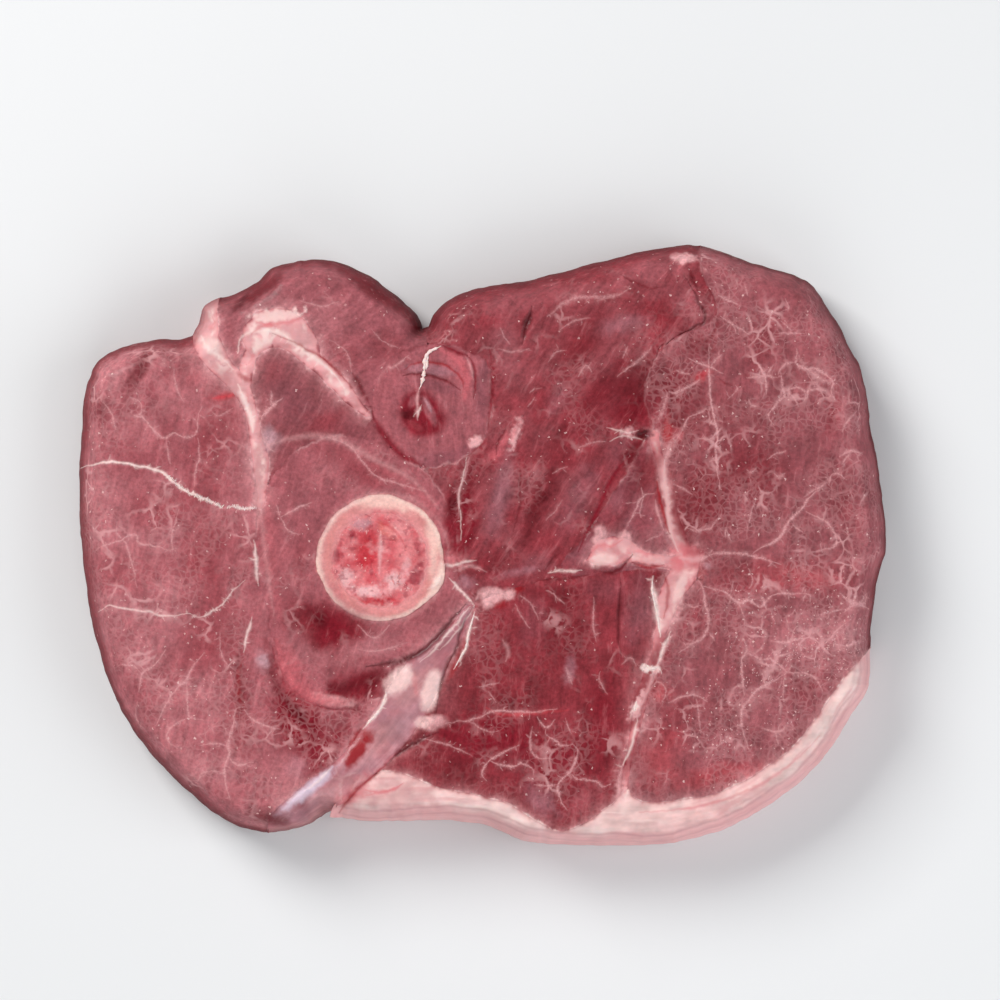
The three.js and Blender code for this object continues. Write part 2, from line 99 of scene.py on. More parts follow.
def at(px: float, py: float) -> np.ndarray:
    """The place on the face under a pixel of the photograph, in millimetres."""
    return np.array([(px - ORIGIN_PIXEL[0]) * PIXEL, (ORIGIN_PIXEL[1] - py) * PIXEL])


def linear(srgb: tuple) -> np.ndarray:
    """An 0 to 255 screen colour as linear light."""
    c = np.asarray(srgb, float) / 255
    return np.where(c <= 0.04045, c / 12.92, ((c + 0.055) / 1.055) ** 2.4)


def ease(low: float, high: float, value: np.ndarray) -> np.ndarray:
    """A smooth step from 0 at low to 1 at high."""
    t = np.clip((value - low) / (high - low), 0, 1)
    return t * t * (3 - 2 * t)


def bell(distance: np.ndarray, reach: float) -> np.ndarray:
    """A bell curve that is 1 at no distance and fades over the reach."""
    return np.exp(-(distance / reach) ** 2)


def noise(points: np.ndarray, scale: float, seed: int) -> np.ndarray:
    """Smooth random values on points of two or three dimensions.

    Args:
        points: one row for each point, in millimetres.
        scale: the size of a feature, in millimetres.
        seed: picks one of many patterns.

    Returns:
        One value from -1 to 1 for each point.
    """
    q = points / scale + 19.19 * seed
    cell = np.floor(q).astype(np.int64)
    part = q - cell
    part = part * part * part * (part * (part * 6 - 15) + 10)
    total = np.zeros(len(points))
    for corner in product((0, 1), repeat=points.shape[1]):
        mixed = np.full(len(points), seed * 144665, np.int64)
        weight = np.ones(len(points))
        for axis, (step, prime) in enumerate(zip(corner, (374761393, 668265263, 1442695041))):
            mixed = (mixed + (cell[:, axis] + step) * prime) & 0xFFFFFFFF
            weight *= part[:, axis] if step else 1 - part[:, axis]
        mixed = ((mixed ^ (mixed >> 13)) * 1274126177) & 0xFFFFFFFF
        mixed = ((mixed ^ (mixed >> 16)) * 2246822519) & 0xFFFFFFFF
        total += weight * ((mixed ^ (mixed >> 13)) / 0x7FFFFFFF - 1)
    return total


def clouds(points: np.ndarray, scale: float, seed: int, octaves: int = 3) -> np.ndarray:
    """Noise at several sizes, each half as large and half as strong, from about -1 to 1."""
    layers = [noise(points, scale / 2 ** k, seed + k) / 2 ** k for k in range(octaves)]
    return sum(layers) / 1.4


def smooth_line(points: np.ndarray, step: float, closed: bool = False) -> np.ndarray:
    """A rounded line through points, resampled at an even step (Catmull-Rom)."""
    p = np.asarray(points, float)
    if closed:
        before, after, last = np.roll(p, 1, 0), np.roll(p, -1, 0), len(p)
    else:
        before, after, last = np.vstack([p[:1], p[:-1]]), np.vstack([p[1:], p[-1:]]), len(p) - 1
    tangent = (after - before) / 2
    pieces = []
    for i in range(last):
        j = (i + 1) % len(p)
        count = max(2, int(np.linalg.norm(p[j] - p[i]) / step * 2) + 1)
        t = np.linspace(0, 1, count, endpoint=False)[:, None]
        pieces.append((2 * t**3 - 3 * t**2 + 1) * p[i] + (t**3 - 2 * t**2 + t) * tangent[i]
                      + (3 * t**2 - 2 * t**3) * p[j] + (t**3 - t**2) * tangent[j])
    pieces.append(p[:1] if closed else p[-1:])
    line = np.vstack(pieces)
    walked = np.concatenate([[0], np.cumsum(np.linalg.norm(np.diff(line, axis=0), axis=1))])
    count = max(2, int(round(walked[-1] / step)))
    wanted = np.linspace(0, walked[-1], count + 1)
    if closed:
        wanted = wanted[:-1]
    return np.column_stack([np.interp(wanted, walked, line[:, k]) for k in range(line.shape[1])])


def distance_to_line(points: np.ndarray, line: np.ndarray) -> tuple[np.ndarray, np.ndarray]:
    """How far points are from an open line.

    Args:
        points: places, one row each.
        line: the line's points in order.

    Returns:
        The distances, and how far along the line the nearest place is, from 0 to 1.
    """
    best = np.full(len(points), 1e9)
    along = np.zeros(len(points))
    for i in range(len(line) - 1):
        start, run = line[i], line[i + 1] - line[i]
        t = np.clip((points - start) @ run / max(run @ run, 1e-12), 0, 1)
        far = np.hypot(*(points - start - t[:, None] * run).T)
        nearer = far < best
        best[nearer] = far[nearer]
        along[nearer] = ((i + t) / (len(line) - 1))[nearer]
    return best, along


def nearest(tree: KDTree, points: np.ndarray) -> tuple[np.ndarray, np.ndarray]:
    """The distance to the nearest point of a tree, and its index, for each place."""
    found = [tree.find((x, y, 0.0)) for x, y in points.tolist()]
    return np.array([f[2] for f in found]), np.array([f[1] for f in found], int)


def tree_of(points: np.ndarray) -> KDTree:
    """A search tree of places."""
    tree = KDTree(len(points))
    for i, (x, y) in enumerate(points.tolist()):
        tree.insert((x, y, 0.0), i)
    tree.balance()
    return tree


def inside(points: np.ndarray, loops: list[np.ndarray]) -> np.ndarray:
    """Which points are inside loops, where a loop within a loop is a hole."""
    starts = np.vstack(loops)
    ends = np.vstack([np.roll(loop, -1, 0) for loop in loops])
    order = np.argsort(points[:, 1], kind="stable")
    y, x = points[order, 1], points[order, 0]
    crossings = np.zeros(len(points), int)
    for (x0, y0), (x1, y1) in zip(starts.tolist(), ends.tolist()):
        if y0 == y1:
            continue
        low, high = np.searchsorted(y, (min(y0, y1), max(y0, y1)))
        rows = slice(low, high)
        crossings[rows] += x[rows] < x0 + (y[rows] - y0) * (x1 - x0) / (y1 - y0)
    result = np.zeros(len(points), bool)
    result[order] = crossings % 2 == 1
    return result


def wander(points: np.ndarray) -> np.ndarray:
    """The small natural wobble of every outline, the same for neighbours so that they still meet."""
    shift = np.zeros_like(points)
    for size, scale, seed in WANDER:
        shift[:, 0] += size * noise(points, scale, seed)
        shift[:, 1] += size * noise(points, scale, seed + 40)
    return shift


# ------------------------------------------------------------------------------------- plans of the solids

@dataclass
class Plan:
    """The outline loops of one piece, and which of their points are on the slice's rim."""

    node: str
    loops: list[np.ndarray] = field(default_factory=list)
    rim: list[np.ndarray] = field(default_factory=list)

    def slice_solid(self) -> list[np.ndarray]:
        """The loops where the node's solid crosses the slicing height."""
        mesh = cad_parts[self.node].data
        places = np.empty(len(mesh.vertices) * 3)
        mesh.vertices.foreach_get("co", places)
        places = places.reshape(-1, 3) / MM
        mesh.calc_loop_triangles()
        corners = np.empty(len(mesh.loop_triangles) * 3, int)
        mesh.loop_triangles.foreach_get("vertices", corners)
        follow: dict[tuple, tuple] = {}
        for triangle in places[corners.reshape(-1, 3)]:
            above = triangle[:, 2] > SLICE_HEIGHT
            if above.all() or not above.any():
                continue
            cuts = {}
            for a, b in ((0, 1), (1, 2), (2, 0)):
                if above[a] == above[b]:
                    continue
                low, high = sorted((tuple(triangle[a]), tuple(triangle[b])))
                t = (SLICE_HEIGHT - low[2]) / (high[2] - low[2])
                cuts[bool(above[a])] = (round(low[0] + t * (high[0] - low[0]), 4),
                                        round(low[1] + t * (high[1] - low[1]), 4))
            if cuts[True] != cuts[False]:
                follow[cuts[True]] = cuts[False]
        loops = []
        while follow:
            start, here = next(iter(follow.items()))
            del follow[start]
            loop = [start]
            while here != start and here in follow:
                loop.append(here)
                here = follow.pop(here)
            if len(loop) > 5:
                loops.append(np.array(loop))
        return loops

    @staticmethod
    def round_off(loop: np.ndarray) -> np.ndarray:
        """A loop with its gentle bends smoothed, its sharp corners kept and its points evenly spaced."""
        keep = np.linalg.norm(loop - np.roll(loop, 1, 0), axis=1) > 0.05
        loop = loop[keep]
        back, on = loop - np.roll(loop, 1, 0), np.roll(loop, -1, 0) - loop
        crossed = back[:, 0] * on[:, 1] - back[:, 1] * on[:, 0]
        turn = np.abs(np.degrees(np.arctan2(crossed, (back * on).sum(1))))
        corners = np.flatnonzero(turn > CORNER_TURN)
        if len(corners) < 2:
            return smooth_line(loop, OUTLINE_STEP, closed=True)
        loop = np.roll(loop, -corners[0], 0)
        corners = np.append(corners - corners[0], len(loop))
        ring = np.vstack([loop, loop[:1]])
        runs = [smooth_line(ring[a:b + 1], OUTLINE_STEP)[:-1] for a, b in zip(corners[:-1], corners[1:])]
        return np.vstack(runs)

    @staticmethod
    def grow(loop: np.ndarray, by: float) -> np.ndarray:
        """A loop moved outwards, where outwards is to the right of its direction."""
        on = np.roll(loop, -1, 0) - np.roll(loop, 1, 0)
        on /= np.linalg.norm(on, axis=1)[:, None]
        return loop + by * np.column_stack([on[:, 1], -on[:, 0]])


def area(loop: np.ndarray) -> float:
    """The signed area of a loop, positive if it is anticlockwise."""
    x, y = loop.T
    return float(np.sum(x * np.roll(y, -1) - np.roll(x, -1) * y) / 2)


def long_runs(flags: np.ndarray) -> np.ndarray:
    """The flags round a loop, without the runs that are shorter than a rim can be."""
    if flags.all() or not flags.any():
        return np.zeros(len(flags), bool)
    first = int(np.flatnonzero(~flags)[0])
    turned = np.roll(flags, -first)
    changes = np.flatnonzero(np.diff(np.concatenate([[0], turned.astype(int), [0]])))
    for start, end in zip(changes[::2], changes[1::2]):
        if (end - start) * OUTLINE_STEP < RIM_RUN:
            turned[start:end] = False
    return np.roll(turned, first)


def close_slit(plans: dict[str, Plan]) -> None:
    """Closes the slit between the fascia's end and the tip of the fat, which lie against each other."""
    middle, nudge = at(*SLIT), at(SLIT[0] - 4, SLIT[1] - 3) - at(*SLIT)
    for plan in plans.values():
        for i, loop in enumerate(plan.loops):
            far = np.linalg.norm(loop - middle, axis=1)
            plan.rim[i] = plan.rim[i] & (far > SLIT_REACH)
            if plan.node == "fat_cover":
                plan.loops[i] = loop + nudge * bell(far, SLIT_REACH)[:, None]


def make_plans() -> dict[str, Plan]:
    """The plans of all nodes, rounded off, grown towards each other and marked where they are rim."""
    plans = {}
    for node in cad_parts:
        plan = Plan(node)
        loops = sorted((Plan.round_off(loop) for loop in plan.slice_solid()), key=lambda l: -abs(area(l)))
        for i, loop in enumerate(loops):
            anticlockwise = i == 0
            plan.loops.append(loop if (area(loop) > 0) == anticlockwise else loop[::-1])
        plans[node] = plan
    for node, plan in plans.items():
        others = tree_of(np.vstack([
            loop for other in plans.values() if other.node != node for loop in other.loops]))
        gaps = [nearest(others, loop)[0] for loop in plan.loops]
        filled = [i for i, gap in enumerate(gaps) if i == 0 or np.median(gap) < RIM_GAP]
        plan.loops = [plan.loops[i] for i in filled]
        plan.rim = [long_runs(gaps[i] > RIM_GAP) for i in filled]
    close_slit(plans)
    for plan in plans.values():
        plan.loops = [Plan.grow(loop, (SEAM_GAP + SKIN_OVERLAP) / 2) for loop in plan.loops]
        plan.loops = [loop + wander(loop) for loop in plan.loops]
    return plans


# -------------------------------------------------------------------------------------- paint and carving

class Tint(Enum):
    """Screen colours of raw lamb, from 0 to 255."""

    ROSE = (164, 89, 96)
    PALE_ROSE = (184, 114, 120)
    DUSKY_ROSE = (156, 86, 93)
    DUSKY = (142, 74, 80)
    GREY_PLUM = (140, 78, 86)
    LILAC = (186, 142, 150)
    LILAC_GREY = (172, 118, 128)
    BRICK = (142, 54, 62)
    # BURGUNDY to HOLLOW are dark meat reds, and are also used as painted shade on the rim and sides, in
    # seams, grooves and hollows, and under lips.
    BURGUNDY = (120, 36, 44)
    DEEP = (106, 24, 33)
    MAROON = (74, 13, 20)
    BLOOD = (150, 22, 30)
    HOLLOW = (126, 24, 38)
    LIVELY = (198, 98, 106)
    VIVID = (196, 62, 70)
    FAT = (238, 199, 196)
    FAT_WHITE = (246, 219, 214)
    FAT_PINK = (218, 158, 160)
    FAT_ROSE = (204, 146, 148)
    FAT_RED = (214, 118, 124)
    FAT_SHADE_LINE = (196, 138, 142)
    ICE = (216, 194, 210)
    NUB = (226, 168, 170)
    BONE = (216, 140, 139)
    BONE_PEACH = (216, 134, 130)
    BONE_CREAM = (250, 216, 204)
    MARROW = (206, 92, 100)
    MARROW_RED = (196, 46, 58)
    MARROW_ORANGE = (214, 112, 96)
    MARROW_PALE = (228, 148, 150)
    PEARL = (236, 188, 190)
    WINE = (136, 22, 44)

    @property
    def light(self) -> np.ndarray:
        """The tint as linear light."""
        return linear(self.value)


@dataclass(frozen=True)
class Patch:
    """A soft-edged oval of colour.

    Its centre and half sizes are pixels of the photograph, and its turn is in degrees anticlockwise.
    """

    tint: Tint
    x: float
    y: float
    long: float
    short: float
    turn: float = 0.0
    strength: float = 0.7
    ragged: float = 0.35
    soft: float = 0.8

    def cover(self, points: np.ndarray, seed: int) -> np.ndarray:
        """How strongly the patch covers each point, from 0 to its strength."""
        c, s = math.cos(math.radians(self.turn)), math.sin(math.radians(self.turn))
        d = points - at(self.x, self.y)
        u = (d[:, 0] * c + d[:, 1] * s) / (self.long * PIXEL)
        v = (-d[:, 0] * s + d[:, 1] * c) / (self.short * PIXEL)
        far = np.hypot(u, v)
        near = far < PATCH_REACH
        result = np.zeros(len(points))
        if near.any():
            rough = self.ragged * clouds(points[near], max(0.8, self.short * PIXEL * 0.8), seed, 3)
            result[near] = 1 - ease(1 - self.soft, 1 + self.soft * 0.6, far[near] + rough)
        return result * self.strength


@dataclass(frozen=True)
class Marbling(Patch):
    """A soft-edged oval in which the fine net and the flecks have their own strengths."""

    net: float = 0.9
    flecks: float = 0.3


def marbled(x: float, y: float, long: float, short: float, turn: float, net: float,
        flecks: float) -> Marbling:
    """A marbled oval, in pixels and degrees."""
    return Marbling(Tint.NUB, x, y, long, short, turn, 1.0, 0.4, 0.8, net, flecks)


@dataclass(frozen=True)
class Thread:
    """One drawn line in millimetres: where it runs, how wide and strong it is, its relief and its tint."""

    line: np.ndarray
    width: float
    strength: float
    relief: float
    tint: Tint | None
    taper: float
    broken: float

    def touches(self, loop: np.ndarray) -> bool:
        """Whether the thread comes near the box round a loop."""
        low, high = loop.min(0) - 1, loop.max(0) + 1
        return bool(((self.line > low) & (self.line < high)).all(1).any())

    def cover(self, points: np.ndarray, spread: float = 1.0) -> tuple[np.ndarray, np.ndarray]:
        """Which points the thread reaches, and how strongly it covers each of them from 0 to 1."""
        reach = self.width * spread * THREAD_REACH
        low, high = self.line.min(0) - reach, self.line.max(0) + reach
        near = np.flatnonzero(((points > low) & (points < high)).all(1))
        if not len(near):
            return near, np.zeros(0)
        far, along = distance_to_line(points[near], self.line)
        keep = far < reach
        near, far, along = near[keep], far[keep], along[keep]
        coarse, fine = noise(points[near], 0.9, 3), noise(points[near], 0.4, 4)
        uneven = 1 + self.broken * coarse + 0.5 * self.broken * fine
        ends = self.taper + (1 - self.taper) * ease(0, 0.3, np.minimum(along, 1 - along))
        return near, bell(far, self.width * spread * uneven * ends) * (0.5 + 0.5 * ends)


@dataclass(frozen=True)
class Stroke:
    """A line drawn on the face: a vein of fat, a coloured streak, a groove with painted shade in it, or a
    ridge.

    The route is in pixels of the photograph, width and relief in millimetres. With no tint it is a vein.
    """

    route: tuple
    width: float = 0.3
    strength: float = 0.8
    relief: float = 0.04
    tint: Tint | None = None
    taper: float = 0.35
    broken: float = 0.35
    twigs: float = 0.0            # side twigs for each millimetre of the line
    twig_length: float = 1.7      # of the longest, in millimetres

    def line(self) -> np.ndarray:
        """The stroke's middle line with a small natural wobble, in millimetres."""
        path = smooth_line(np.array([at(*p) for p in self.route]), 0.4)
        path = path + 0.14 * np.column_stack([noise(path, 1.1, 71), noise(path, 1.1, 72)])
        return path + 0.06 * np.column_stack([noise(path, 0.45, 73), noise(path, 0.45, 74)])

    def threads(self) -> list[Thread]:
        """The line and its small side twigs."""
        line = self.line()
        made = [Thread(line, self.width, self.strength, self.relief, self.tint, self.taper, self.broken)]
        draw = np.random.default_rng(int(abs(line[0, 0] * 731 + line[0, 1] * 1193)) + len(line))
        length = np.linalg.norm(np.diff(line, axis=0), axis=1).sum()
        for _ in range(int(round(self.twigs * length))):
            i = int(draw.integers(1, len(line) - 1))
            on = line[i] - line[i - 1]
            heading = math.atan2(on[1], on[0]) + draw.choice((-1, 1)) * draw.uniform(0.6, 1.5)
            place, steps = line[i].copy(), [line[i].copy()]
            pace = self.twig_length * draw.uniform(0.35, 1.0) / 5
            for _ in range(5):
                heading += draw.normal(0, 0.35)
                place = place + pace * np.array([math.cos(heading), math.sin(heading)])
                steps.append(place.copy())
            width = min(self.width * draw.uniform(0.4, 0.7), 0.2)
            made.append(Thread(np.array(steps), width, self.strength * draw.uniform(0.35, 0.8),
                               self.relief * 0.5, self.tint, 0.3, 0.4))
        return made


def vein(width: float, strength: float, *route: tuple) -> Stroke:
    """A vein of fat with a low ridge."""
    return Stroke(route, width * 0.85, strength * 0.85, 0.012, broken=0.6, twigs=0.45)


def feathered(width: float, strength: float, *route: tuple) -> Stroke:
    """A white line with a dense comb of short side hairs."""
    return Stroke(route, width, strength, 0.05, Tint.FAT_WHITE, 0.3, 0.5, 2.6, 0.9)


def white_line(width: float, strength: float, *route: tuple) -> Stroke:
    """A crisp white line of fat."""
    return Stroke(route, width, strength, 0.03, Tint.FAT_WHITE, 0.25, 0.35, 0.25)


def streak(tint: Tint, width: float, strength: float, *route: tuple) -> Stroke:
    """A flat coloured line."""
    return Stroke(route, width, strength, 0.0, tint)


def shaded_crease(tint: Tint, width: float, strength: float, depth: float, *route: tuple) -> Stroke:
    """A groove: a dip in the relief, darkened with painted shade."""
    return Stroke(route, width, strength, -depth, tint, 0.25, 0.2)


def ridge(tint: Tint, width: float, strength: float, height: float, *route: tuple) -> Stroke:
    """A raised coloured cord."""
    return Stroke(route, width, strength, height, tint, 0.4, 0.3)


@dataclass(frozen=True)
class Lump:
    """A rounded swelling, or with a negative height a hollow. Places and half sizes are in pixels."""

    x: float
    y: float
    long: float
    short: float
    height: float
    turn: float = 0.0

    def lift(self, points: np.ndarray) -> np.ndarray:
        """How much the lump raises each point."""
        c, s = math.cos(math.radians(self.turn)), math.sin(math.radians(self.turn))
        d = points - at(self.x, self.y)
        u = (d[:, 0] * c + d[:, 1] * s) / (self.long * PIXEL)
        v = (-d[:, 0] * s + d[:, 1] * c) / (self.short * PIXEL)
        return self.height * np.exp(-(u * u + v * v))


@dataclass(frozen=True)
class Across:
    """What is painted and carved over the whole face, whichever piece lies under it."""

    patches: tuple
    strokes: tuple
    lumps: tuple


# ------------------------------------------------------------------------------------- the skin of one piece

@dataclass
class Skin:
    """The points, faces and painted values of one piece while it is being made, in millimetres."""

    points: np.ndarray
    faces: np.ndarray
    upper: np.ndarray
    rim_distance: np.ndarray
    seam_distance: np.ndarray
    beside: np.ndarray            # for each point, the index of the nearest outline point of a neighbour


@dataclass
class Neighbours:
    """The outline points around one piece, and what each one's piece is like at its edge."""

    tree: KDTree
    tint: np.ndarray              # linear colour of the neighbour
    pale: np.ndarray              # whether the neighbour is fat or fascia
    ragged: np.ndarray            # how far the colours wander over the seam, in millimetres
    side: np.ndarray              # 1 or -1, so that both pieces wander the same way


@dataclass
class Piece:
    """One piece of the slice: its plan, how its face is carved and how it is painted.

    A subclass adds its own form in carve and its own colours in own_colour.
    """

    node: str
    finish: "Finish"
    base: Tint
    second: Tint
    mottle: float = 0.5
    mottle_size: float = 6.0
    dapple: float = 0.2           # share by which fine blotches lighten and darken the colour
    lift: float = 0.0
    lift_run: float = 1.6         # distance from a seam over which the piece's own forms come in
    sunk: float = 0.0
    seam_soft: float = 0.12
    seam_crease: float = 0.02
    seam_line: float = 0.5
    ragged: float = 0.5
    blur: float = 0.3
    net: float = 0.5
    flecks: float = 0.1
    # rim_width and side: the width and the colour of the painted shade on the rim and sides.
    rim_width: float = 2.2
    side: Tint = Tint.DEEP
    patches: tuple = ()
    strokes: tuple = ()
    lumps: tuple = ()
    marbling: tuple = ()
    face_step: float = FACE_STEP
    seed: int = 1
    drawn: list = field(default_factory=list)
    across: "Across | None" = None

    @property
    def pale(self) -> bool:
        """Whether the piece is fat or fascia."""
        return self.finish.slot in ("fat", "fascia")

    @property
    def edge_tint(self) -> np.ndarray:
        """The linear colour that the piece has at its edges."""
        return self.base.light + (self.second.light - self.base.light) * self.mottle * 0.5

    def heights(self, points: np.ndarray, rim: np.ndarray, seam: np.ndarray) -> np.ndarray:
        """The height of the cut face over each point of the plan."""
        shoulder = rounded_profile(SHOULDER)
        height = np.interp(rim, shoulder[:, 0], shoulder[:, 1])
        share = (height - GIRTH_HEIGHT) / (THICKNESS - GIRTH_HEIGHT)
        swell = sum(np.sin(kx * points[:, 0] + ky * points[:, 1]) for kx, ky in FACE_WAVES) * FACE_WAVE
        swell += 0.2 * clouds(points, 9.0, 5, 2) + 0.07 * clouds(points, 2.2, 7, 2)
        low = self.sunk + self.seam_soft * np.exp(-seam / 2.2) + self.seam_crease * bell(seam, 0.25)
        own = self.lift + self.carve(points) + sum(lump.lift(points) for lump in self.lumps)
        common = sum(lump.lift(points) for lump in self.across.lumps)
        height = height + share * (swell + common + ease(-0.1, self.lift_run, seam) * own - low)
        for thread in self.drawn:
            near, cover = thread.cover(points)
            height[near] += thread.relief * cover * share[near]
        return height

    def carve(self, points: np.ndarray) -> np.ndarray:
        """Any form of the face that is this piece's own."""
        return np.zeros(len(points))

    def own_colour(self, skin: Skin) -> np.ndarray:
        """The linear colour of each point, before its seams, sides, streaks, veins and grain."""
        flat = skin.points[:, :2]
        mix = ease(-0.7, 0.7, clouds(flat, self.mottle_size, 30 + self.seed, 3)) * self.mottle
        colour = self.base.light + (self.second.light - self.base.light) * mix[:, None]
        for i, patch in enumerate(self.patches):
            cover = patch.cover(flat, OWN_SEED + i)[:, None]
            colour = colour + (patch.tint.light - colour) * cover
        turn = math.radians(self.finish.angle)
        along = flat @ np.array([math.cos(turn), math.sin(turn)])
        across = flat @ np.array([-math.sin(turn), math.cos(turn)])
        fibres = clouds(np.column_stack([along / 3.2, across]), 1.1, 41, 3)
        blotches = clouds(flat, 2.8, 44, 3)
        return colour * (1 + self.dapple * (0.7 * fibres + 0.9 * blotches))[:, None]

    def meet(self, skin: Skin, colour: np.ndarray, around: Neighbours) -> np.ndarray:
        """Lets the colours wander raggedly over each seam, and draws the seam's pale line or its dark line,
        the dark one partly painted shade in the seam's groove.

        Args:
            skin: the piece's points.
            colour: their own colours.
            around: what lies on the other side.

        Returns:
            The colours with the seams in them.
        """
        flat = skin.points[:, :2]
        reach = np.sqrt(around.ragged[skin.beside] * self.ragged)
        sway = clouds(flat, 2.1, 35, 3) + 0.5 * noise(flat, 0.55, 39)
        depth = skin.seam_distance + around.side[skin.beside] * sway * reach
        other = around.tint[skin.beside]
        pale = around.pale[skin.beside]
        soft = self.blur * (0.3 + reach) * np.where(pale != self.pale, 1.5, 1.0)
        own = ease(-soft, soft, depth)[:, None]
        deep = np.maximum(depth, 0)
        if self.pale:
            stain = np.where(pale, 0.0, 0.55 * np.exp(-deep / (0.3 + 0.8 * reach)))[:, None]
            colour = colour + (Tint.FAT_RED.light - colour) * stain
        else:
            slow = 0.5 + 0.5 * clouds(flat, 5.0, 37, 2)
            haze = np.where(pale, (0.15 + 0.5 * slow) * np.exp(-deep / (0.3 + 1.6 * reach)), 0.0)[:, None]
            colour = colour + (Tint.NUB.light - colour) * haze
        colour = other + (colour - other) * own
        slow = clouds(flat, 6.0, 38, 2)
        line = bell(depth, 0.3) * self.seam_line * ~(pale | self.pale)
        # The pale line is the seam's own tissue; the dark line is dark red with painted shade of the seam's
        # groove.
        light = (line * ease(-0.1, 0.5, slow) * 0.8)[:, None]
        dark = (line * ease(0.1, 0.6, -slow) * 0.7)[:, None]
        colour = colour + (Tint.NUB.light - colour) * light
        return colour + (Tint.DEEP.light - colour) * dark

    def paint_side_and_shade(self, skin: Skin, colour: np.ndarray) -> np.ndarray:
        """Paints shade on the rounded rim and the sides, darkest in a thin line at the very edge."""
        flat = skin.points[:, :2]
        rough = 0.5 * clouds(skin.points / np.array([1, 1, 2.5]), 2.2, 21, 3)
        # A band of painted shade over the rim and sides, uneven in width and colour.
        width = self.rim_width * (1 + 0.75 * clouds(flat, 14.0, 22, 2))
        edge = 1 - ease(width * 0.3, width + 0.6, skin.rim_distance + rough)
        drift = 0.5 + 0.6 * clouds(skin.points / np.array([1, 1, 0.6]), 5.0, 23, 3)
        side = self.side.light + (Tint.BRICK.light - self.side.light) * np.clip(drift, 0, 1)[:, None] * 0.6
        colour = colour + (side - colour) * (0.9 * edge)[:, None]
        # A thin line of deeper painted shade right at the edge.
        outer = 0.55 * bell(skin.rim_distance + 0.3 * rough, 0.9)
        return colour + (Tint.MAROON.light - colour) * outer[:, None]

    def marks(self, skin: Skin) -> np.ndarray:
        """The strengths of drawn veins, fine net and flecks on each point."""
        flat = skin.points[:, :2]
        marks = np.zeros((len(flat), 3))
        for thread in self.drawn:
            if thread.tint is None:
                near, core = thread.cover(flat)
                marks[near, 0] = np.maximum(marks[near, 0], core * thread.strength)
                near, haze = thread.cover(flat, spread=3.0)
                marks[near, 0] = np.maximum(marks[near, 0], haze * thread.strength * 0.2)
        uneven = ease(-0.6, 0.6, clouds(flat, 7.0, 60 + self.seed, 2))
        inner = ease(0.6, 3, skin.rim_distance)
        marks[:, 1] = self.net * (0.45 + 0.55 * uneven) * (0.4 + 0.6 * inner)
        marks[:, 2] = self.flecks * (0.2 + 0.8 * uneven) * inner
        for i, dense in enumerate(self.marbling):
            cover = dense.cover(flat, MARBLING_SEED + i) * inner
            marks[:, 1] += (dense.net - marks[:, 1]) * cover
            marks[:, 2] += (dense.flecks - marks[:, 2]) * cover
        return marks * (0.25 + 0.75 * ease(0, 0.5, skin.seam_distance))[:, None]

    def streaks(self, skin: Skin, colour: np.ndarray) -> np.ndarray:
        """Mixes the coloured strokes into the colour."""
        flat = skin.points[:, :2]
        for thread in self.drawn:
            if thread.tint is not None:
                near, cover = thread.cover(flat)
                cover = (cover * thread.strength)[:, None]
                colour[near] += (thread.tint.light - colour[near]) * cover
        return colour

    def fine_points(self) -> np.ndarray:
        """Extra points along the strokes, so that thin lines are drawn cleanly."""
        rows = []
        for thread in self.drawn:
            line = smooth_line(thread.line, 0.2)
            if len(line) < 3:
                continue
            on = np.gradient(line, axis=0)
            on /= np.maximum(np.linalg.norm(on, axis=1), 1e-9)[:, None]
            across = np.column_stack([-on[:, 1], on[:, 0]])
            width = min(thread.width, 0.45)
            offsets = (-1.4, -0.6, 0, 0.6, 1.4) if thread.width > 0.19 else (-1.3, 0, 1.3)
            rows += [line + across * width * k for k in offsets]
        return np.vstack(rows) if rows else np.zeros((0, 2))

    def build(self, plan: Plan, around: Neighbours) -> Skin:
        """Makes the piece's closed mesh, paints it and lets it stand for its node.

        Args:
            plan: the outline loops of the node.
            around: the outlines of all other pieces.

        Returns:
            The piece's points and faces.
        """
        nowhere = np.array([[FAR_AWAY, FAR_AWAY]])
        rim_points = np.vstack([loop[rim] for loop, rim in zip(plan.loops, plan.rim)] + [nowhere])
        seam_points = np.vstack([loop[~rim] for loop, rim in zip(plan.loops, plan.rim)] + [nowhere])
        own = [thread for stroke in self.strokes for thread in stroke.threads()]
        self.drawn = own + [thread for stroke in self.across.strokes for thread in stroke.threads()
                            if thread.touches(plan.loops[0])]
        skin = make_skin(self, plan, tree_of(rim_points), tree_of(seam_points), around.tree)
        colour = self.meet(skin, self.own_colour(skin), around)
        for i, patch in enumerate(self.across.patches):
            cover = patch.cover(skin.points[:, :2], ACROSS_SEED + i)
            colour += (patch.tint.light - colour) * cover[:, None]
        colour = self.streaks(skin, self.paint_side_and_shade(skin, colour))
        item = to_object(self.node + "_skin", skin.points, skin.faces)
        paint(item, "flesh", colour)
        paint(item, "marks", self.marks(skin))
        item.data.materials.append(self.finish.material())
        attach(item, "root")
        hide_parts(self.node)
        log.info("%s: %d triangles", item.name, len(skin.faces))
        return skin


def rounded_profile(corners: tuple) -> np.ndarray:
    """A profile of inset and height pairs, made smooth between its corners."""
    line = smooth_line(np.array(corners, float), 0.12)
    return line[np.argsort(line[:, 0], kind="stable")]


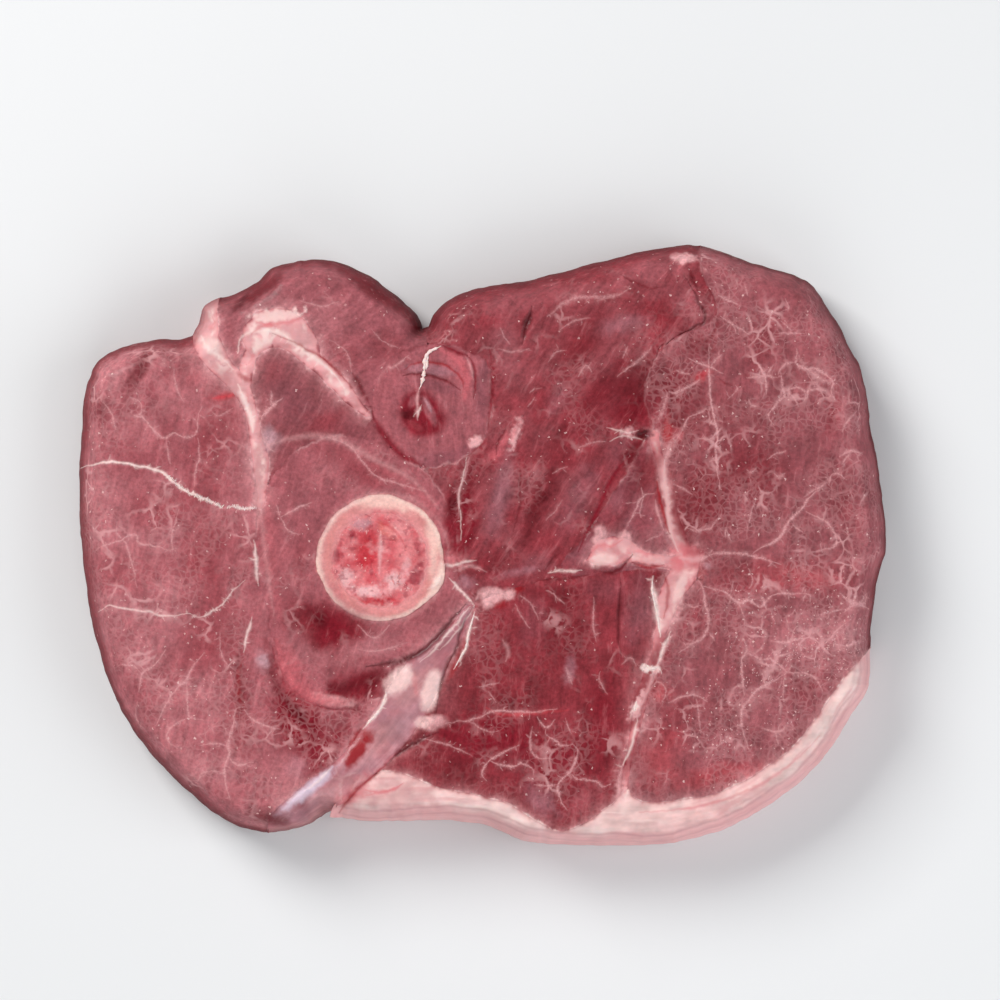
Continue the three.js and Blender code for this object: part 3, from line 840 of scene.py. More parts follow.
def thin_out(groups: list[tuple[np.ndarray, float]]) -> np.ndarray:
    """Joins groups of points, most important first, leaving out those too near an earlier one.

    Args:
        groups: pairs of points and the room that each of them needs, in millimetres.

    Returns:
        The points that are kept.
    """
    kept: list[tuple[float, float]] = []
    cells: dict[tuple[int, int], list[tuple[float, float]]] = {}
    size = max(room for _, room in groups)
    for points, room in groups:
        limit = room * room
        for x, y in points.tolist():
            i, j = int(x // size), int(y // size)
            close = False
            for a in (i - 1, i, i + 1):
                for b in (j - 1, j, j + 1):
                    for u, v in cells.get((a, b), ()):
                        if (u - x) ** 2 + (v - y) ** 2 < limit:
                            close = True
                            break
                    if close:
                        break
                if close:
                    break
            if not close:
                cells.setdefault((i, j), []).append((x, y))
                kept.append((x, y))
    return np.array(kept)


def hexagons(low: np.ndarray, high: np.ndarray, step: float) -> np.ndarray:
    """Points on a hexagonal grid over a rectangle, each shifted a little."""
    rows = np.arange(low[1], high[1], step * 0.866)
    columns = np.arange(low[0], high[0], step)
    x, y = np.meshgrid(columns, rows)
    x = x + (np.arange(len(rows)) % 2)[:, None] * step / 2
    grid = np.column_stack([x.ravel(), y.ravel()])
    return grid + 0.12 * step * np.column_stack([noise(grid, step, 91), noise(grid, step, 92)])


def make_skin(piece: Piece, plan: Plan, rim_tree: KDTree, seam_tree: KDTree, near_tree: KDTree) -> Skin:
    """The closed skin of a piece: cut face, walls and lower face.

    Args:
        piece: says how the face is carved and how fine it is.
        plan: the outline loops.
        rim_tree: the outline points on the slice's rim.
        seam_tree: the outline points against a neighbour.
        near_tree: the neighbours' own outline points.

    Returns:
        The skin, with its faces pointing outwards.
    """
    boundary = np.vstack(plan.loops)
    on_rim = np.concatenate(plan.rim)
    low, high = boundary.min(0), boundary.max(0)
    rows = []
    for loop, rim in zip(plan.loops, plan.rim):
        on = np.roll(loop, -1, 0) - np.roll(loop, 1, 0)
        on /= np.linalg.norm(on, axis=1)[:, None]
        inward = np.column_stack([-on[:, 1], on[:, 0]])
        rows += [(loop + inward * d)[rim] for d in RIM_ROWS]
        rows += [(loop + inward * d)[~rim] for d in CREASE_ROWS]
    rows = np.vstack(rows)
    edge_tree = tree_of(boundary)
    rows = rows[inside(rows, plan.loops)]
    rows = rows[nearest(edge_tree, rows)[0] > ROW_ROOM]
    fine = piece.fine_points()
    fine = fine[inside(fine, plan.loops)] if len(fine) else fine
    if len(fine):
        fine = fine[nearest(edge_tree, fine)[0] > EDGE_ROOM]
    grid = hexagons(low, high, piece.face_step)
    grid = grid[inside(grid, plan.loops)]
    grid = grid[nearest(edge_tree, grid)[0] > EDGE_ROOM]
    inner = thin_out([(fine, FINE_ROOM), (grid, piece.face_step * 0.55)]) if len(fine) else grid
    upper, upper_faces = triangulate(plan, np.vstack([rows, inner]))
    coarse = hexagons(low, high, LOWER_STEP)
    coarse = coarse[inside(coarse, plan.loops)]
    coarse = coarse[nearest(edge_tree, coarse)[0] > EDGE_ROOM]
    lower_rows = rows[nearest(rim_tree, rows)[0] < LOWER_ROWS_REACH]
    lower, lower_faces = triangulate(plan, thin_out([(lower_rows, 0.1), (coarse, 0.4)]))

    rim, seam = nearest(rim_tree, upper)[0], nearest(seam_tree, upper)[0]
    upper_z = piece.heights(upper, rim, seam)
    lower_rim = nearest(rim_tree, lower)[0]
    profile = rounded_profile(LOWER_EDGE)
    lower_z = np.interp(lower_rim, profile[:, 0], profile[:, 1])
    count = len(boundary)
    upper_z[:count][on_rim] = lower_z[:count][on_rim] = GIRTH_HEIGHT

    drop = lower_z[:count] - upper_z[:count]
    wall = [np.column_stack([boundary, upper_z[:count] + drop * k / (WALL_ROWS + 1)])
            for k in range(1, WALL_ROWS + 1)]
    points = np.vstack([np.column_stack([upper, upper_z]), np.column_stack([lower, lower_z])] + wall)
    first_wall = len(upper) + len(lower)
    rings = [np.arange(count)] + [first_wall + k * count + np.arange(count) for k in range(WALL_ROWS)]
    rings.append(len(upper) + np.arange(count))
    for ring in rings[1:]:
        ring[on_rim] = rings[0][on_rim]
    faces = [upper_faces]
    flipped = lower_faces[:, ::-1].copy()
    flipped = np.where(flipped < count, rings[-1][np.minimum(flipped, count - 1)], flipped + len(upper))
    faces.append(flipped)
    start = 0
    for loop in plan.loops:
        here = start + np.arange(len(loop))
        there = start + (np.arange(len(loop)) + 1) % len(loop)
        for top, bottom in zip(rings[:-1], rings[1:]):
            faces.append(np.column_stack([top[here], bottom[here], bottom[there]]))
            faces.append(np.column_stack([top[here], bottom[there], top[there]]))
        start += len(loop)
    faces = np.vstack(faces)
    whole = (faces[:, 0] != faces[:, 1]) & (faces[:, 1] != faces[:, 2]) & (faces[:, 2] != faces[:, 0])
    faces = faces[whole]
    used = np.unique(faces)
    renumber = np.zeros(len(points), int)
    renumber[used] = np.arange(len(used))
    rim_distance = np.concatenate([rim, lower_rim] + [rim[:count]] * WALL_ROWS)
    seam_distance = np.concatenate([seam, nearest(seam_tree, lower)[0]] + [seam[:count]] * WALL_ROWS)
    is_upper = np.arange(len(points)) < len(upper)
    beside = nearest(near_tree, points[used][:, :2])[1]
    return Skin(
        points[used], renumber[faces], is_upper[used], rim_distance[used], seam_distance[used], beside)


def triangulate(plan: Plan, inner: np.ndarray) -> tuple[np.ndarray, np.ndarray]:
    """Triangles over a plan that keep its outline, anticlockwise, with the outline's points first."""
    boundary = np.vstack(plan.loops)
    edges, start = [], 0
    for loop in plan.loops:
        edges += [(start + i, start + (i + 1) % len(loop)) for i in range(len(loop))]
        start += len(loop)
    points = np.vstack([boundary, inner])
    made = delaunay_2d_cdt([Vector(p) for p in points.tolist()], edges, [], 0, 1e-7, False)
    places = np.array([(v.x, v.y) for v in made[0]])
    if len(places) != len(points):
        log.warning("%s: %d points became %d", plan.node, len(points), len(places))
    faces = np.array([f for f in made[2] if len(f) == 3])
    faces = faces[inside(places[faces].mean(1), plan.loops)]
    a, b, c = (places[faces[:, k]] for k in range(3))
    turn = (b[:, 0] - a[:, 0]) * (c[:, 1] - a[:, 1]) - (b[:, 1] - a[:, 1]) * (c[:, 0] - a[:, 0])
    faces[turn < 0] = faces[turn < 0][:, ::-1]
    return places, faces


def to_object(name: str, points: np.ndarray, faces: np.ndarray) -> bpy.types.Object:
    """A smooth-shaded object from points in millimetres and triangles."""
    mesh = bpy.data.meshes.new(name)
    mesh.vertices.add(len(points))
    mesh.vertices.foreach_set("co", (points * MM).ravel())
    mesh.loops.add(len(faces) * 3)
    mesh.loops.foreach_set("vertex_index", faces.ravel())
    mesh.polygons.add(len(faces))
    mesh.polygons.foreach_set("loop_start", np.arange(0, len(faces) * 3, 3))
    mesh.polygons.foreach_set("use_smooth", np.ones(len(faces), bool))
    mesh.update(calc_edges=True)
    mesh.validate()
    item = bpy.data.objects.new(name, mesh)
    bpy.context.scene.collection.objects.link(item)
    return item


def paint(item: bpy.types.Object, name: str, values: np.ndarray) -> None:
    """Stores three values for each point as a colour attribute.

    Args:
        item: the object.
        name: the attribute's name, which the materials read.
        values: one row of three values for each point.
    """
    layer = item.data.color_attributes.new(name, "FLOAT_COLOR", "POINT")
    layer.data.foreach_set("color", np.column_stack([np.clip(values, 0, 1), np.ones(len(values))]).ravel())


# ------------------------------------------------------------------------------------------------ materials

class Board:
    """A small helper that adds and joins the nodes of one tree."""

    def __init__(self, tree: bpy.types.NodeTree) -> None:
        """Keeps the tree."""
        self.tree = tree

    def add(self, kind: str, values: dict | None = None, **settings: object) -> bpy.types.Node:
        """Adds a node.

        Args:
            kind: the node's type.
            values: input name or number to a value or to a socket that feeds it.
            settings: the node's own properties.

        Returns:
            The node.
        """
        node = self.tree.nodes.new(kind)
        for name, value in settings.items():
            setattr(node, name, value)
        for name, value in (values or {}).items():
            socket = node.inputs[name]
            if isinstance(value, bpy.types.NodeSocket):
                self.tree.links.new(value, socket)
            else:
                socket.default_value = value
        return node

    def maths(self, operation: str, *values: object, clamp: bool = False) -> bpy.types.NodeSocket:
        """The result of a Math node."""
        node = self.add("ShaderNodeMath", dict(enumerate(values)), operation=operation, use_clamp=clamp)
        return node.outputs[0]

    def blend(self, share: object, first: object, second: object, how: str = "MIX") -> bpy.types.NodeSocket:
        """Two colours mixed by a share."""
        node = self.add("ShaderNodeMix", {0: share, 6: first, 7: second}, data_type="RGBA", blend_type=how)
        return node.outputs[2]

    def span(self, value: object, low: object, high: object, start: object = 0.0,
             end: object = 1.0) -> bpy.types.NodeSocket:
        """A value's range from low to high mapped smoothly to start and end."""
        node = self.add("ShaderNodeMapRange", {0: value, 1: low, 2: high, 3: start, 4: end})
        node.interpolation_type = "SMOOTHSTEP"
        return node.outputs[0]


def new_group(name: str, inputs: dict, outputs: dict) -> tuple[Board, bpy.types.Node, bpy.types.Node]:
    """An empty shader node group.

    Args:
        name: the group's name.
        inputs: input name to its socket type and default.
        outputs: output name to its socket type.

    Returns:
        The board, the group's input node and its output node.
    """
    tree = bpy.data.node_groups.new(name, "ShaderNodeTree")
    for label, (kind, value) in inputs.items():
        socket = tree.interface.new_socket(label, in_out="INPUT", socket_type=kind)
        if value is not None:
            socket.default_value = value
    for label, kind in outputs.items():
        tree.interface.new_socket(label, in_out="OUTPUT", socket_type=kind)
    board = Board(tree)
    return board, board.add("NodeGroupInput"), board.add("NodeGroupOutput")


NUMBER, PLACE = "NodeSocketFloat", "NodeSocketVector"


def shared(name: str, make: object) -> bpy.types.NodeTree:
    """A node group by its name, made on first use."""
    return bpy.data.node_groups.get(name) or make(name)


def grain_group(name: str) -> bpy.types.NodeTree:
    """Muscle fibre: fine streaks along an angle and a finer mottle, both about 0.5 on average."""
    board, given, out = new_group(
        name,
        {"Place": (PLACE, None), "Angle": (NUMBER, 0.0), "Scale": (NUMBER, 700.0), "Stretch": (NUMBER, 5.0)},
        {"Streak": NUMBER, "Mottle": NUMBER})
    bend = board.add("ShaderNodeTexNoise", {"Vector": given.outputs["Place"], "Scale": 90.0, "Detail": 2.0})
    sway = board.add("ShaderNodeVectorMath", {0: bend.outputs["Color"], 1: (0.0035, 0.0035, 0.0)},
                     operation="MULTIPLY")
    moved = board.add("ShaderNodeVectorMath", {0: given.outputs["Place"], 1: sway.outputs[0]})
    turned = board.add("ShaderNodeVectorRotate", {
        "Vector": moved.outputs[0], "Angle": given.outputs["Angle"]}, rotation_type="Z_AXIS")
    squash = board.add("ShaderNodeCombineXYZ", {
        0: board.maths("DIVIDE", 1.0, given.outputs["Stretch"]), 1: 1.0, 2: 1.0})
    drawn = board.add("ShaderNodeVectorMath", {0: turned.outputs[0], 1: squash.outputs[0]},
        operation="MULTIPLY")
    streak = board.add("ShaderNodeTexNoise", {
        "Vector": drawn.outputs[0], "Scale": given.outputs["Scale"], "Detail": 4.0, "Roughness": 0.62})
    mottle = board.add("ShaderNodeTexNoise", {
        "Vector": given.outputs["Place"], "Scale": board.maths("MULTIPLY", given.outputs["Scale"], 1.9),
        "Detail": 3.0, "Roughness": 0.6})
    board.tree.links.new(streak.outputs["Fac"], out.inputs["Streak"])
    board.tree.links.new(mottle.outputs["Fac"], out.inputs["Mottle"])
    return board.tree


def net_group(name: str) -> bpy.types.NodeTree:
    """Marbling: broken hair-thin threads round irregular cells, from 0 to 1."""
    board, given, out = new_group(
        name,
        {"Place": (PLACE, None), "Cells": (NUMBER, 240.0), "Width": (NUMBER, 0.09), "Amount": (NUMBER, 0.5)},
        {"Mask": NUMBER})
    wobble = board.add("ShaderNodeTexNoise", {"Vector": given.outputs["Place"], "Scale": 210.0,
        "Detail": 2.0})
    centred = board.add("ShaderNodeVectorMath", {0: wobble.outputs["Color"], 1: (0.5, 0.5, 0.5)},
                        operation="SUBTRACT")
    shift = board.add("ShaderNodeVectorMath", {0: centred.outputs[0], 1: (0.0034, 0.0034, 0.0034)},
                      operation="MULTIPLY")
    moved = board.add("ShaderNodeVectorMath", {0: given.outputs["Place"], 1: shift.outputs[0]})
    thick = board.add("ShaderNodeTexNoise", {"Vector": given.outputs["Place"], "Scale": 900.0, "Detail": 2.0})
    width = board.maths(
        "MULTIPLY", given.outputs["Width"], board.span(thick.outputs["Fac"], 0.3, 0.7, 0.45, 1.6))
    total = None
    for share, factor, scale, floor in NET_LAYERS:
        cells = board.add("ShaderNodeTexVoronoi", {
            "Vector": moved.outputs[0], "Scale": board.maths("MULTIPLY", given.outputs["Cells"], factor)},
            feature="DISTANCE_TO_EDGE")
        line = board.span(
            cells.outputs["Distance"], 0.0, board.maths("MULTIPLY", width, factor ** 0.5), 1.0, 0.0)
        gaps = board.add("ShaderNodeTexNoise", {
            "Vector": given.outputs["Place"], "Scale": scale, "Detail": 1.6, "Roughness": 0.5})
        edge = board.maths("SUBTRACT", floor, board.maths("MULTIPLY", given.outputs["Amount"], 0.2))
        held = board.span(gaps.outputs["Fac"], edge, board.maths("ADD", edge, 0.2))
        layer = board.maths("MULTIPLY", board.maths("MULTIPLY", line, held), share)
        total = layer if total is None else board.maths("MAXIMUM", total, layer)
    board.tree.links.new(total, out.inputs["Mask"])
    return board.tree


def fleck_group(name: str) -> bpy.types.NodeTree:
    """Small ragged specks of fat, scattered unevenly, from 0 to 1."""
    board, given, out = new_group(
        name, {"Place": (PLACE, None), "Scale": (NUMBER, 1450.0), "Amount": (NUMBER, 0.3)}, {"Mask": NUMBER})
    warp = board.add("ShaderNodeTexNoise", {"Vector": given.outputs["Place"], "Scale": 2400.0, "Detail": 2.0})
    sway = board.add("ShaderNodeVectorMath", {0: warp.outputs["Color"], 1: (0.0009, 0.0009, 0.0009)},
                     operation="MULTIPLY")
    moved = board.add("ShaderNodeVectorMath", {0: given.outputs["Place"], 1: sway.outputs[0]})
    cells = board.add("ShaderNodeTexVoronoi", {"Vector": moved.outputs[0], "Scale": given.outputs["Scale"]})
    pick = board.add("ShaderNodeSeparateColor", {0: cells.outputs["Color"]})
    size = board.span(pick.outputs[0], 0.0, 1.0, 0.12, 0.34)
    speck = board.span(board.maths("SUBTRACT", cells.outputs["Distance"], size), -0.1, 0.08, 1.0, 0.0)
    chosen = board.maths("GREATER_THAN", given.outputs["Amount"], pick.outputs[1])
    bright = board.span(pick.outputs[2], 0.0, 1.0, 0.35, 1.0)
    board.tree.links.new(board.maths("MULTIPLY", board.maths("MULTIPLY", speck, chosen), bright),
                         out.inputs["Mask"])
    return board.tree


@dataclass(frozen=True)
class Finish:
    """A moist food surface that shows the piece's painted colour with its own grain and gloss."""

    name: str
    slot: str
    angle: float = 90.0          # degrees of the grain on the face
    streak: float = 0.2          # how much the grain lightens and darkens
    mottle: float = 0.24
    grain_size: float = 700.0
    stretch: float = 5.0
    net_cells: float = 230.0
    fat_tint: Tint = Tint.NUB
    roughness: float = 0.42
    wet: float = 0.22            # weight of the clear wet coat
    bump: float = 0.35
    soft: float = 0.12           # share of light that goes through the surface
    glints: float = 0.5
    fibres: float = 0.16         # how pale the grain's palest lines are

    def material(self) -> bpy.types.Material:
        """The finish's material, made on first use."""
        made = bpy.data.materials.get(self.name)
        if made:
            return made
        made = bpy.data.materials.new(self.name)
        made.use_nodes = True
        made.node_tree.nodes.clear()
        board = Board(made.node_tree)
        place = board.add("ShaderNodeTexCoord").outputs["Object"]
        flesh = board.add("ShaderNodeAttribute", attribute_name="flesh").outputs["Color"]
        marks = board.add("ShaderNodeSeparateColor", {
            0: board.add("ShaderNodeAttribute", attribute_name="marks").outputs["Color"]})
        grain = self.grain(board, place)
        fine = board.add("ShaderNodeTexNoise", {"Vector": place, "Scale": 2600.0, "Detail": 3.0,
            "Roughness": 0.6})
        net = board.add("ShaderNodeGroup", node_tree=shared("marbling net", net_group))
        for label, value in (("Cells", self.net_cells), ("Width", NET_WIDTH)):
            net.inputs[label].default_value = value
        board.tree.links.new(place, net.inputs["Place"])
        board.tree.links.new(marks.outputs[1], net.inputs["Amount"])
        specks = board.add("ShaderNodeGroup", node_tree=shared("fat specks", fleck_group))
        board.tree.links.new(place, specks.inputs["Place"])
        board.tree.links.new(marks.outputs[2], specks.inputs["Amount"])

        light = board.maths(
            "ADD", board.maths("MULTIPLY", board.maths("SUBTRACT", grain[0], 0.5), self.streak * 4),
            board.maths("MULTIPLY", board.maths("SUBTRACT", grain[1], 0.5), self.mottle * 4))
        lit = board.maths("ADD", light, 1.0)
        grey = board.add("ShaderNodeCombineColor", {0: lit, 1: lit, 2: lit}).outputs[0]
        colour = board.blend(1.0, flesh, grey, "MULTIPLY")
        fibre = board.maths("MULTIPLY", board.span(grain[0], 0.56, 0.78), self.fibres, clamp=True)
        colour = board.blend(fibre, colour, (*self.fat_tint.light, 1.0))
        hair = board.maths(
            "MULTIPLY", net.outputs[0], board.span(marks.outputs[1], 0.0, 0.6, 0.0, 0.62), clamp=True)
        colour = board.blend(hair, colour, (*self.fat_tint.light, 1.0))
        colour = board.blend(board.maths("MULTIPLY", specks.outputs[0], 0.75), colour, (*Tint.FAT.light, 1.0))
        uneven = board.span(fine.outputs["Fac"], 0.3, 0.64, 0.5, 1.2)
        veins = board.maths("MULTIPLY", marks.outputs[0], uneven, clamp=True)
        colour = board.blend(veins, colour, (*self.fat_tint.light, 1.0))

        rise = board.maths(
            "ADD", board.maths("MULTIPLY", grain[0], 0.9), board.maths("MULTIPLY", grain[1], 0.5))
        rise = board.maths("ADD", rise, board.maths("MULTIPLY", fine.outputs["Fac"], self.glints))
        bump = board.add("ShaderNodeBump", {"Strength": self.bump, "Distance": 0.00022, "Height": rise})
        shine = board.span(grain[1], 0.3, 0.7, self.roughness - 0.08, self.roughness + 0.12)
        upward = board.add("ShaderNodeSeparateXYZ", {0: board.add("ShaderNodeTexCoord").outputs["Normal"]})
        flat = board.span(upward.outputs[2], 0.35, 0.95, 0.12, 1.0)
        shine = board.maths("ADD", shine, board.span(flat, 0.12, 1.0, 0.22, 0.0))
        shader = board.add("ShaderNodeBsdfPrincipled", {
            "Base Color": colour, "Roughness": shine, "Normal": bump.outputs[0],
            "IOR": 1.36, "Specular IOR Level": 0.1, "Coat Weight": board.maths("MULTIPLY", flat, self.wet),
            "Coat Roughness": 0.1, "Coat IOR": 1.33,
            "Subsurface Weight": self.soft, "Subsurface Scale": 0.0006,
            "Subsurface Radius": (1.0, 0.35, 0.25)})
        board.add("ShaderNodeOutputMaterial", {"Surface": shader.outputs[0]})
        return made

    def grain(self, board: Board, place: bpy.types.NodeSocket) -> tuple:
        """The grain group's two outputs, set to this finish's angle and size."""
        node = board.add("ShaderNodeGroup", node_tree=shared("muscle grain", grain_group))
        node.inputs["Angle"].default_value = -math.radians(self.angle)
        node.inputs["Scale"].default_value = self.grain_size
        node.inputs["Stretch"].default_value = self.stretch
        board.tree.links.new(place, node.inputs["Place"])
        return node.outputs[0], node.outputs[1]


THREAD_FINISH = Finish("white_thread", "fat", streak=0.05, mottle=0.08, fibres=0.0, roughness=0.4,
                       wet=0.3, bump=0.15, soft=0.2, glints=0.2, fat_tint=Tint.FAT_WHITE)
FAT_FINISH = Finish("waxy_fat", "fat", angle=8, streak=0.05, mottle=0.05, grain_size=260, stretch=7,
                    roughness=0.46, wet=0.18, bump=0.22, soft=0.25, glints=0.25, fat_tint=Tint.FAT_WHITE)
FASCIA_FINISH = Finish("wet_fascia", "fascia", angle=50, streak=0.16, mottle=0.10, grain_size=500, stretch=8,
                       roughness=0.36, wet=0.4, bump=0.3, soft=0.15, fat_tint=Tint.FAT)
BONE_FINISH = Finish("sawn_bone", "bone", angle=20, streak=0.08, mottle=0.12, grain_size=900, stretch=1.5,
                     roughness=0.5, wet=0.12, bump=0.3, soft=0.12, glints=0.6, fat_tint=Tint.BONE_CREAM)
MARROW_FINISH = Finish("wet_marrow", "marrow", angle=0, streak=0.1, mottle=0.14, grain_size=800, stretch=1.2,
                       roughness=0.34, wet=0.45, bump=0.4, soft=0.2, glints=0.6, fibres=0.1,
                       fat_tint=Tint.PEARL)


# ------------------------------------------------------------------- what follows a path or is strewn about

def growth_tree(name: str, inputs: dict) -> tuple[Board, bpy.types.Node, bpy.types.Node]:
    """An empty geometry node tree that takes and gives geometry.

    Args:
        name: the tree's name.
        inputs: input name to its socket type and default.

    Returns:
        The board, the tree's input node and its output node.
    """
    tree = bpy.data.node_groups.new(name, "GeometryNodeTree")
    tree.interface.new_socket("Geometry", in_out="INPUT", socket_type="NodeSocketGeometry")
    for label, (kind, value) in inputs.items():
        tree.interface.new_socket(label, in_out="INPUT", socket_type=kind).default_value = value
    tree.interface.new_socket("Geometry", in_out="OUTPUT", socket_type="NodeSocketGeometry")
    board = Board(tree)
    return board, board.add("NodeGroupInput"), board.add("NodeGroupOutput")


def end_tree(board: Board, out: bpy.types.Node, made: bpy.types.NodeSocket, tint: bpy.types.NodeSocket,
             finish: "Finish") -> None:
    """Paints what a tree has made, then realizes it, gives it its material and puts it out."""
    real = board.add("GeometryNodeRealizeInstances", {0: made})
    painted = board.add("GeometryNodeStoreNamedAttribute", {"Geometry": real.outputs[0], "Name": "flesh"},
                        data_type="FLOAT_COLOR", domain="POINT")
    board.tree.links.new(tint, painted.inputs["Value"])
    smooth = board.add("GeometryNodeSetShadeSmooth", {0: painted.outputs[0]})
    dressed = board.add("GeometryNodeSetMaterial", {"Geometry": smooth.outputs[0],
        "Material": finish.material()})
    board.tree.links.new(dressed.outputs[0], out.inputs[0])


def harden(name: str, seedbed: bpy.types.Object, tree: bpy.types.NodeTree, values: dict) -> bpy.types.Object:
    """Runs a tree on an object and keeps the result as a plain mesh that rides on the slice.

    Args:
        name: the new piece's name.
        seedbed: the object that the tree starts from, which is then removed.
        tree: the geometry node tree.
        values: the tree's inputs by name.

    Returns:
        The new piece.
    """
    modifier = seedbed.modifiers.new("growth", "NODES")
    modifier.node_group = tree
    for socket in tree.interface.items_tree:
        if socket.in_out == "INPUT" and socket.name in values:
            modifier[socket.identifier] = values[socket.name]
    graph = bpy.context.evaluated_depsgraph_get()
    mesh = bpy.data.meshes.new_from_object(seedbed.evaluated_get(graph), depsgraph=graph)
    mesh.name = name
    bed = seedbed.data
    bpy.data.objects.remove(seedbed)
    bpy.data.meshes.remove(bed)
    item = bpy.data.objects.new(name, mesh)
    bpy.context.scene.collection.objects.link(item)
    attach(item, "root")
    log.info("%s: %d faces", name, len(mesh.polygons))
    return item


@dataclass
class Face:
    """The finished cut face, to lay things on."""

    points: np.ndarray
    tree: KDTree = field(init=False)

    def __post_init__(self) -> None:
        """Sorts the points for searching."""
        self.tree = tree_of(self.points[:, :2])

    def lay(self, line: np.ndarray, above: float) -> np.ndarray:
        """Places on the face under a flat line, raised a little."""
        found = nearest(self.tree, line)[1]
        return np.column_stack([line, self.points[found, 2] + above])


@dataclass
class Threads:
    """White threads of sinew and fat that lie on the face along drawn lines."""

    name: str
    routes: tuple
    radius: float = 0.16          # millimetres
    above: float = 0.03
    wobble: float = 0.35
    comb: float = 0.0             # if not 0, short hairs across each line, this many for each millimetre
    tint: Tint = Tint.FAT_WHITE
    seed: int = 3

    def hairs(self, line: np.ndarray) -> list[np.ndarray]:
        """Short lines across a line."""
        draw = np.random.default_rng(self.seed)
        line = smooth_line(line, 1 / self.comb)
        on = np.gradient(line, axis=0)
        on /= np.linalg.norm(on, axis=1)[:, None]
        made = []
        for place, (x, y) in zip(line, on):
            turn = draw.normal(0, 0.3)
            c, s = math.cos(turn), math.sin(turn)
            across = np.array([-y * c - x * s, x * c - y * s])
            low, high = draw.uniform(0.15, 0.5), draw.uniform(0.25, 0.75)
            made.append(place + across * np.array([[-low], [(high - low) / 2], [high]]))
        return made

    def tree(self) -> bpy.types.NodeTree:
        """The node tree: an uneven tube along each line."""
        board, given, out = growth_tree(self.name + " growth", {
            "Radius": (NUMBER, 0.0002), "Wobble": (NUMBER, 0.0003), "Step": (NUMBER, 0.00025),
            "Seed": (NUMBER, 0.0), "Tint": ("NodeSocketColor", (1.0, 1.0, 1.0, 1.0))})
        curve = board.add("GeometryNodeMeshToCurve", {0: given.outputs["Geometry"]})
        even = board.add("GeometryNodeResampleCurve", {
            "Curve": curve.outputs[0], "Length": given.outputs["Step"]}, mode="LENGTH")
        place = board.add("GeometryNodeInputPosition")
        sway = board.add("ShaderNodeTexNoise", {"Vector": place.outputs[0], "W": given.outputs["Seed"],
                                                "Scale": 900.0, "Detail": 2.0}, noise_dimensions="4D")
        centred = board.add("ShaderNodeVectorMath", {0: sway.outputs["Color"], 1: (0.5, 0.5, 0.5)},
                            operation="SUBTRACT")
        reach = board.add("ShaderNodeCombineXYZ", {0: given.outputs["Wobble"], 1: given.outputs["Wobble"],
                                                   2: board.maths("MULTIPLY", given.outputs["Wobble"], 0.25)})
        shift = board.add("ShaderNodeVectorMath", {0: centred.outputs[0], 1: reach.outputs[0]},
                          operation="MULTIPLY")
        moved = board.add("GeometryNodeSetPosition", {
            "Geometry": even.outputs[0], "Offset": shift.outputs[0]})
        along = board.add("GeometryNodeSplineParameter").outputs["Factor"]
        taper = board.maths(
            "MULTIPLY", board.span(along, 0.0, 0.2, 0.15, 1.0), board.span(along, 0.8, 1.0, 1.0, 0.15))
        thick = board.add("ShaderNodeTexNoise", {"Vector": place.outputs[0], "Scale": 1500.0, "Detail": 2.0})
        uneven = board.span(thick.outputs["Fac"], 0.3, 0.7, 0.45, 1.5)
        radius = board.maths("MULTIPLY", board.maths("MULTIPLY", given.outputs["Radius"], taper), uneven)
        ring = board.add("GeometryNodeCurvePrimitiveCircle", {"Resolution": 6, "Radius": 1.0})
        tube = board.add("GeometryNodeCurveToMesh", {
            "Curve": moved.outputs[0], "Profile Curve": ring.outputs[0], "Scale": radius, "Fill Caps": True})
        end_tree(board, out, tube.outputs[0], given.outputs["Tint"], THREAD_FINISH)
        return board.tree

    def build(self, face: Face) -> None:
        """Lays the lines on the face and grows the threads along them."""
        points, edges = [], []
        flat = [smooth_line(np.array([at(*p) for p in route]), 0.3) for route in self.routes]
        if self.comb:
            flat = [hair for line in flat for hair in self.hairs(line)]
        for route in flat:
            line = face.lay(route, self.above)
            line[:, 2] = np.convolve(np.pad(line[:, 2], 2, "edge"), np.ones(5) / 5, "valid")
            edges += [(len(points) + i, len(points) + i + 1) for i in range(len(line) - 1)]
            points += (line * MM).tolist()
        mesh = bpy.data.meshes.new(self.name + "_lines")
        mesh.from_pydata(points, edges, [])
        lines = bpy.data.objects.new(self.name + "_lines", mesh)
        bpy.context.scene.collection.objects.link(lines)
        harden(self.name, lines, self.tree(), {
            "Radius": self.radius * MM, "Wobble": self.wobble * MM, "Seed": float(self.seed),
            "Tint": (*self.tint.light, 1.0)})


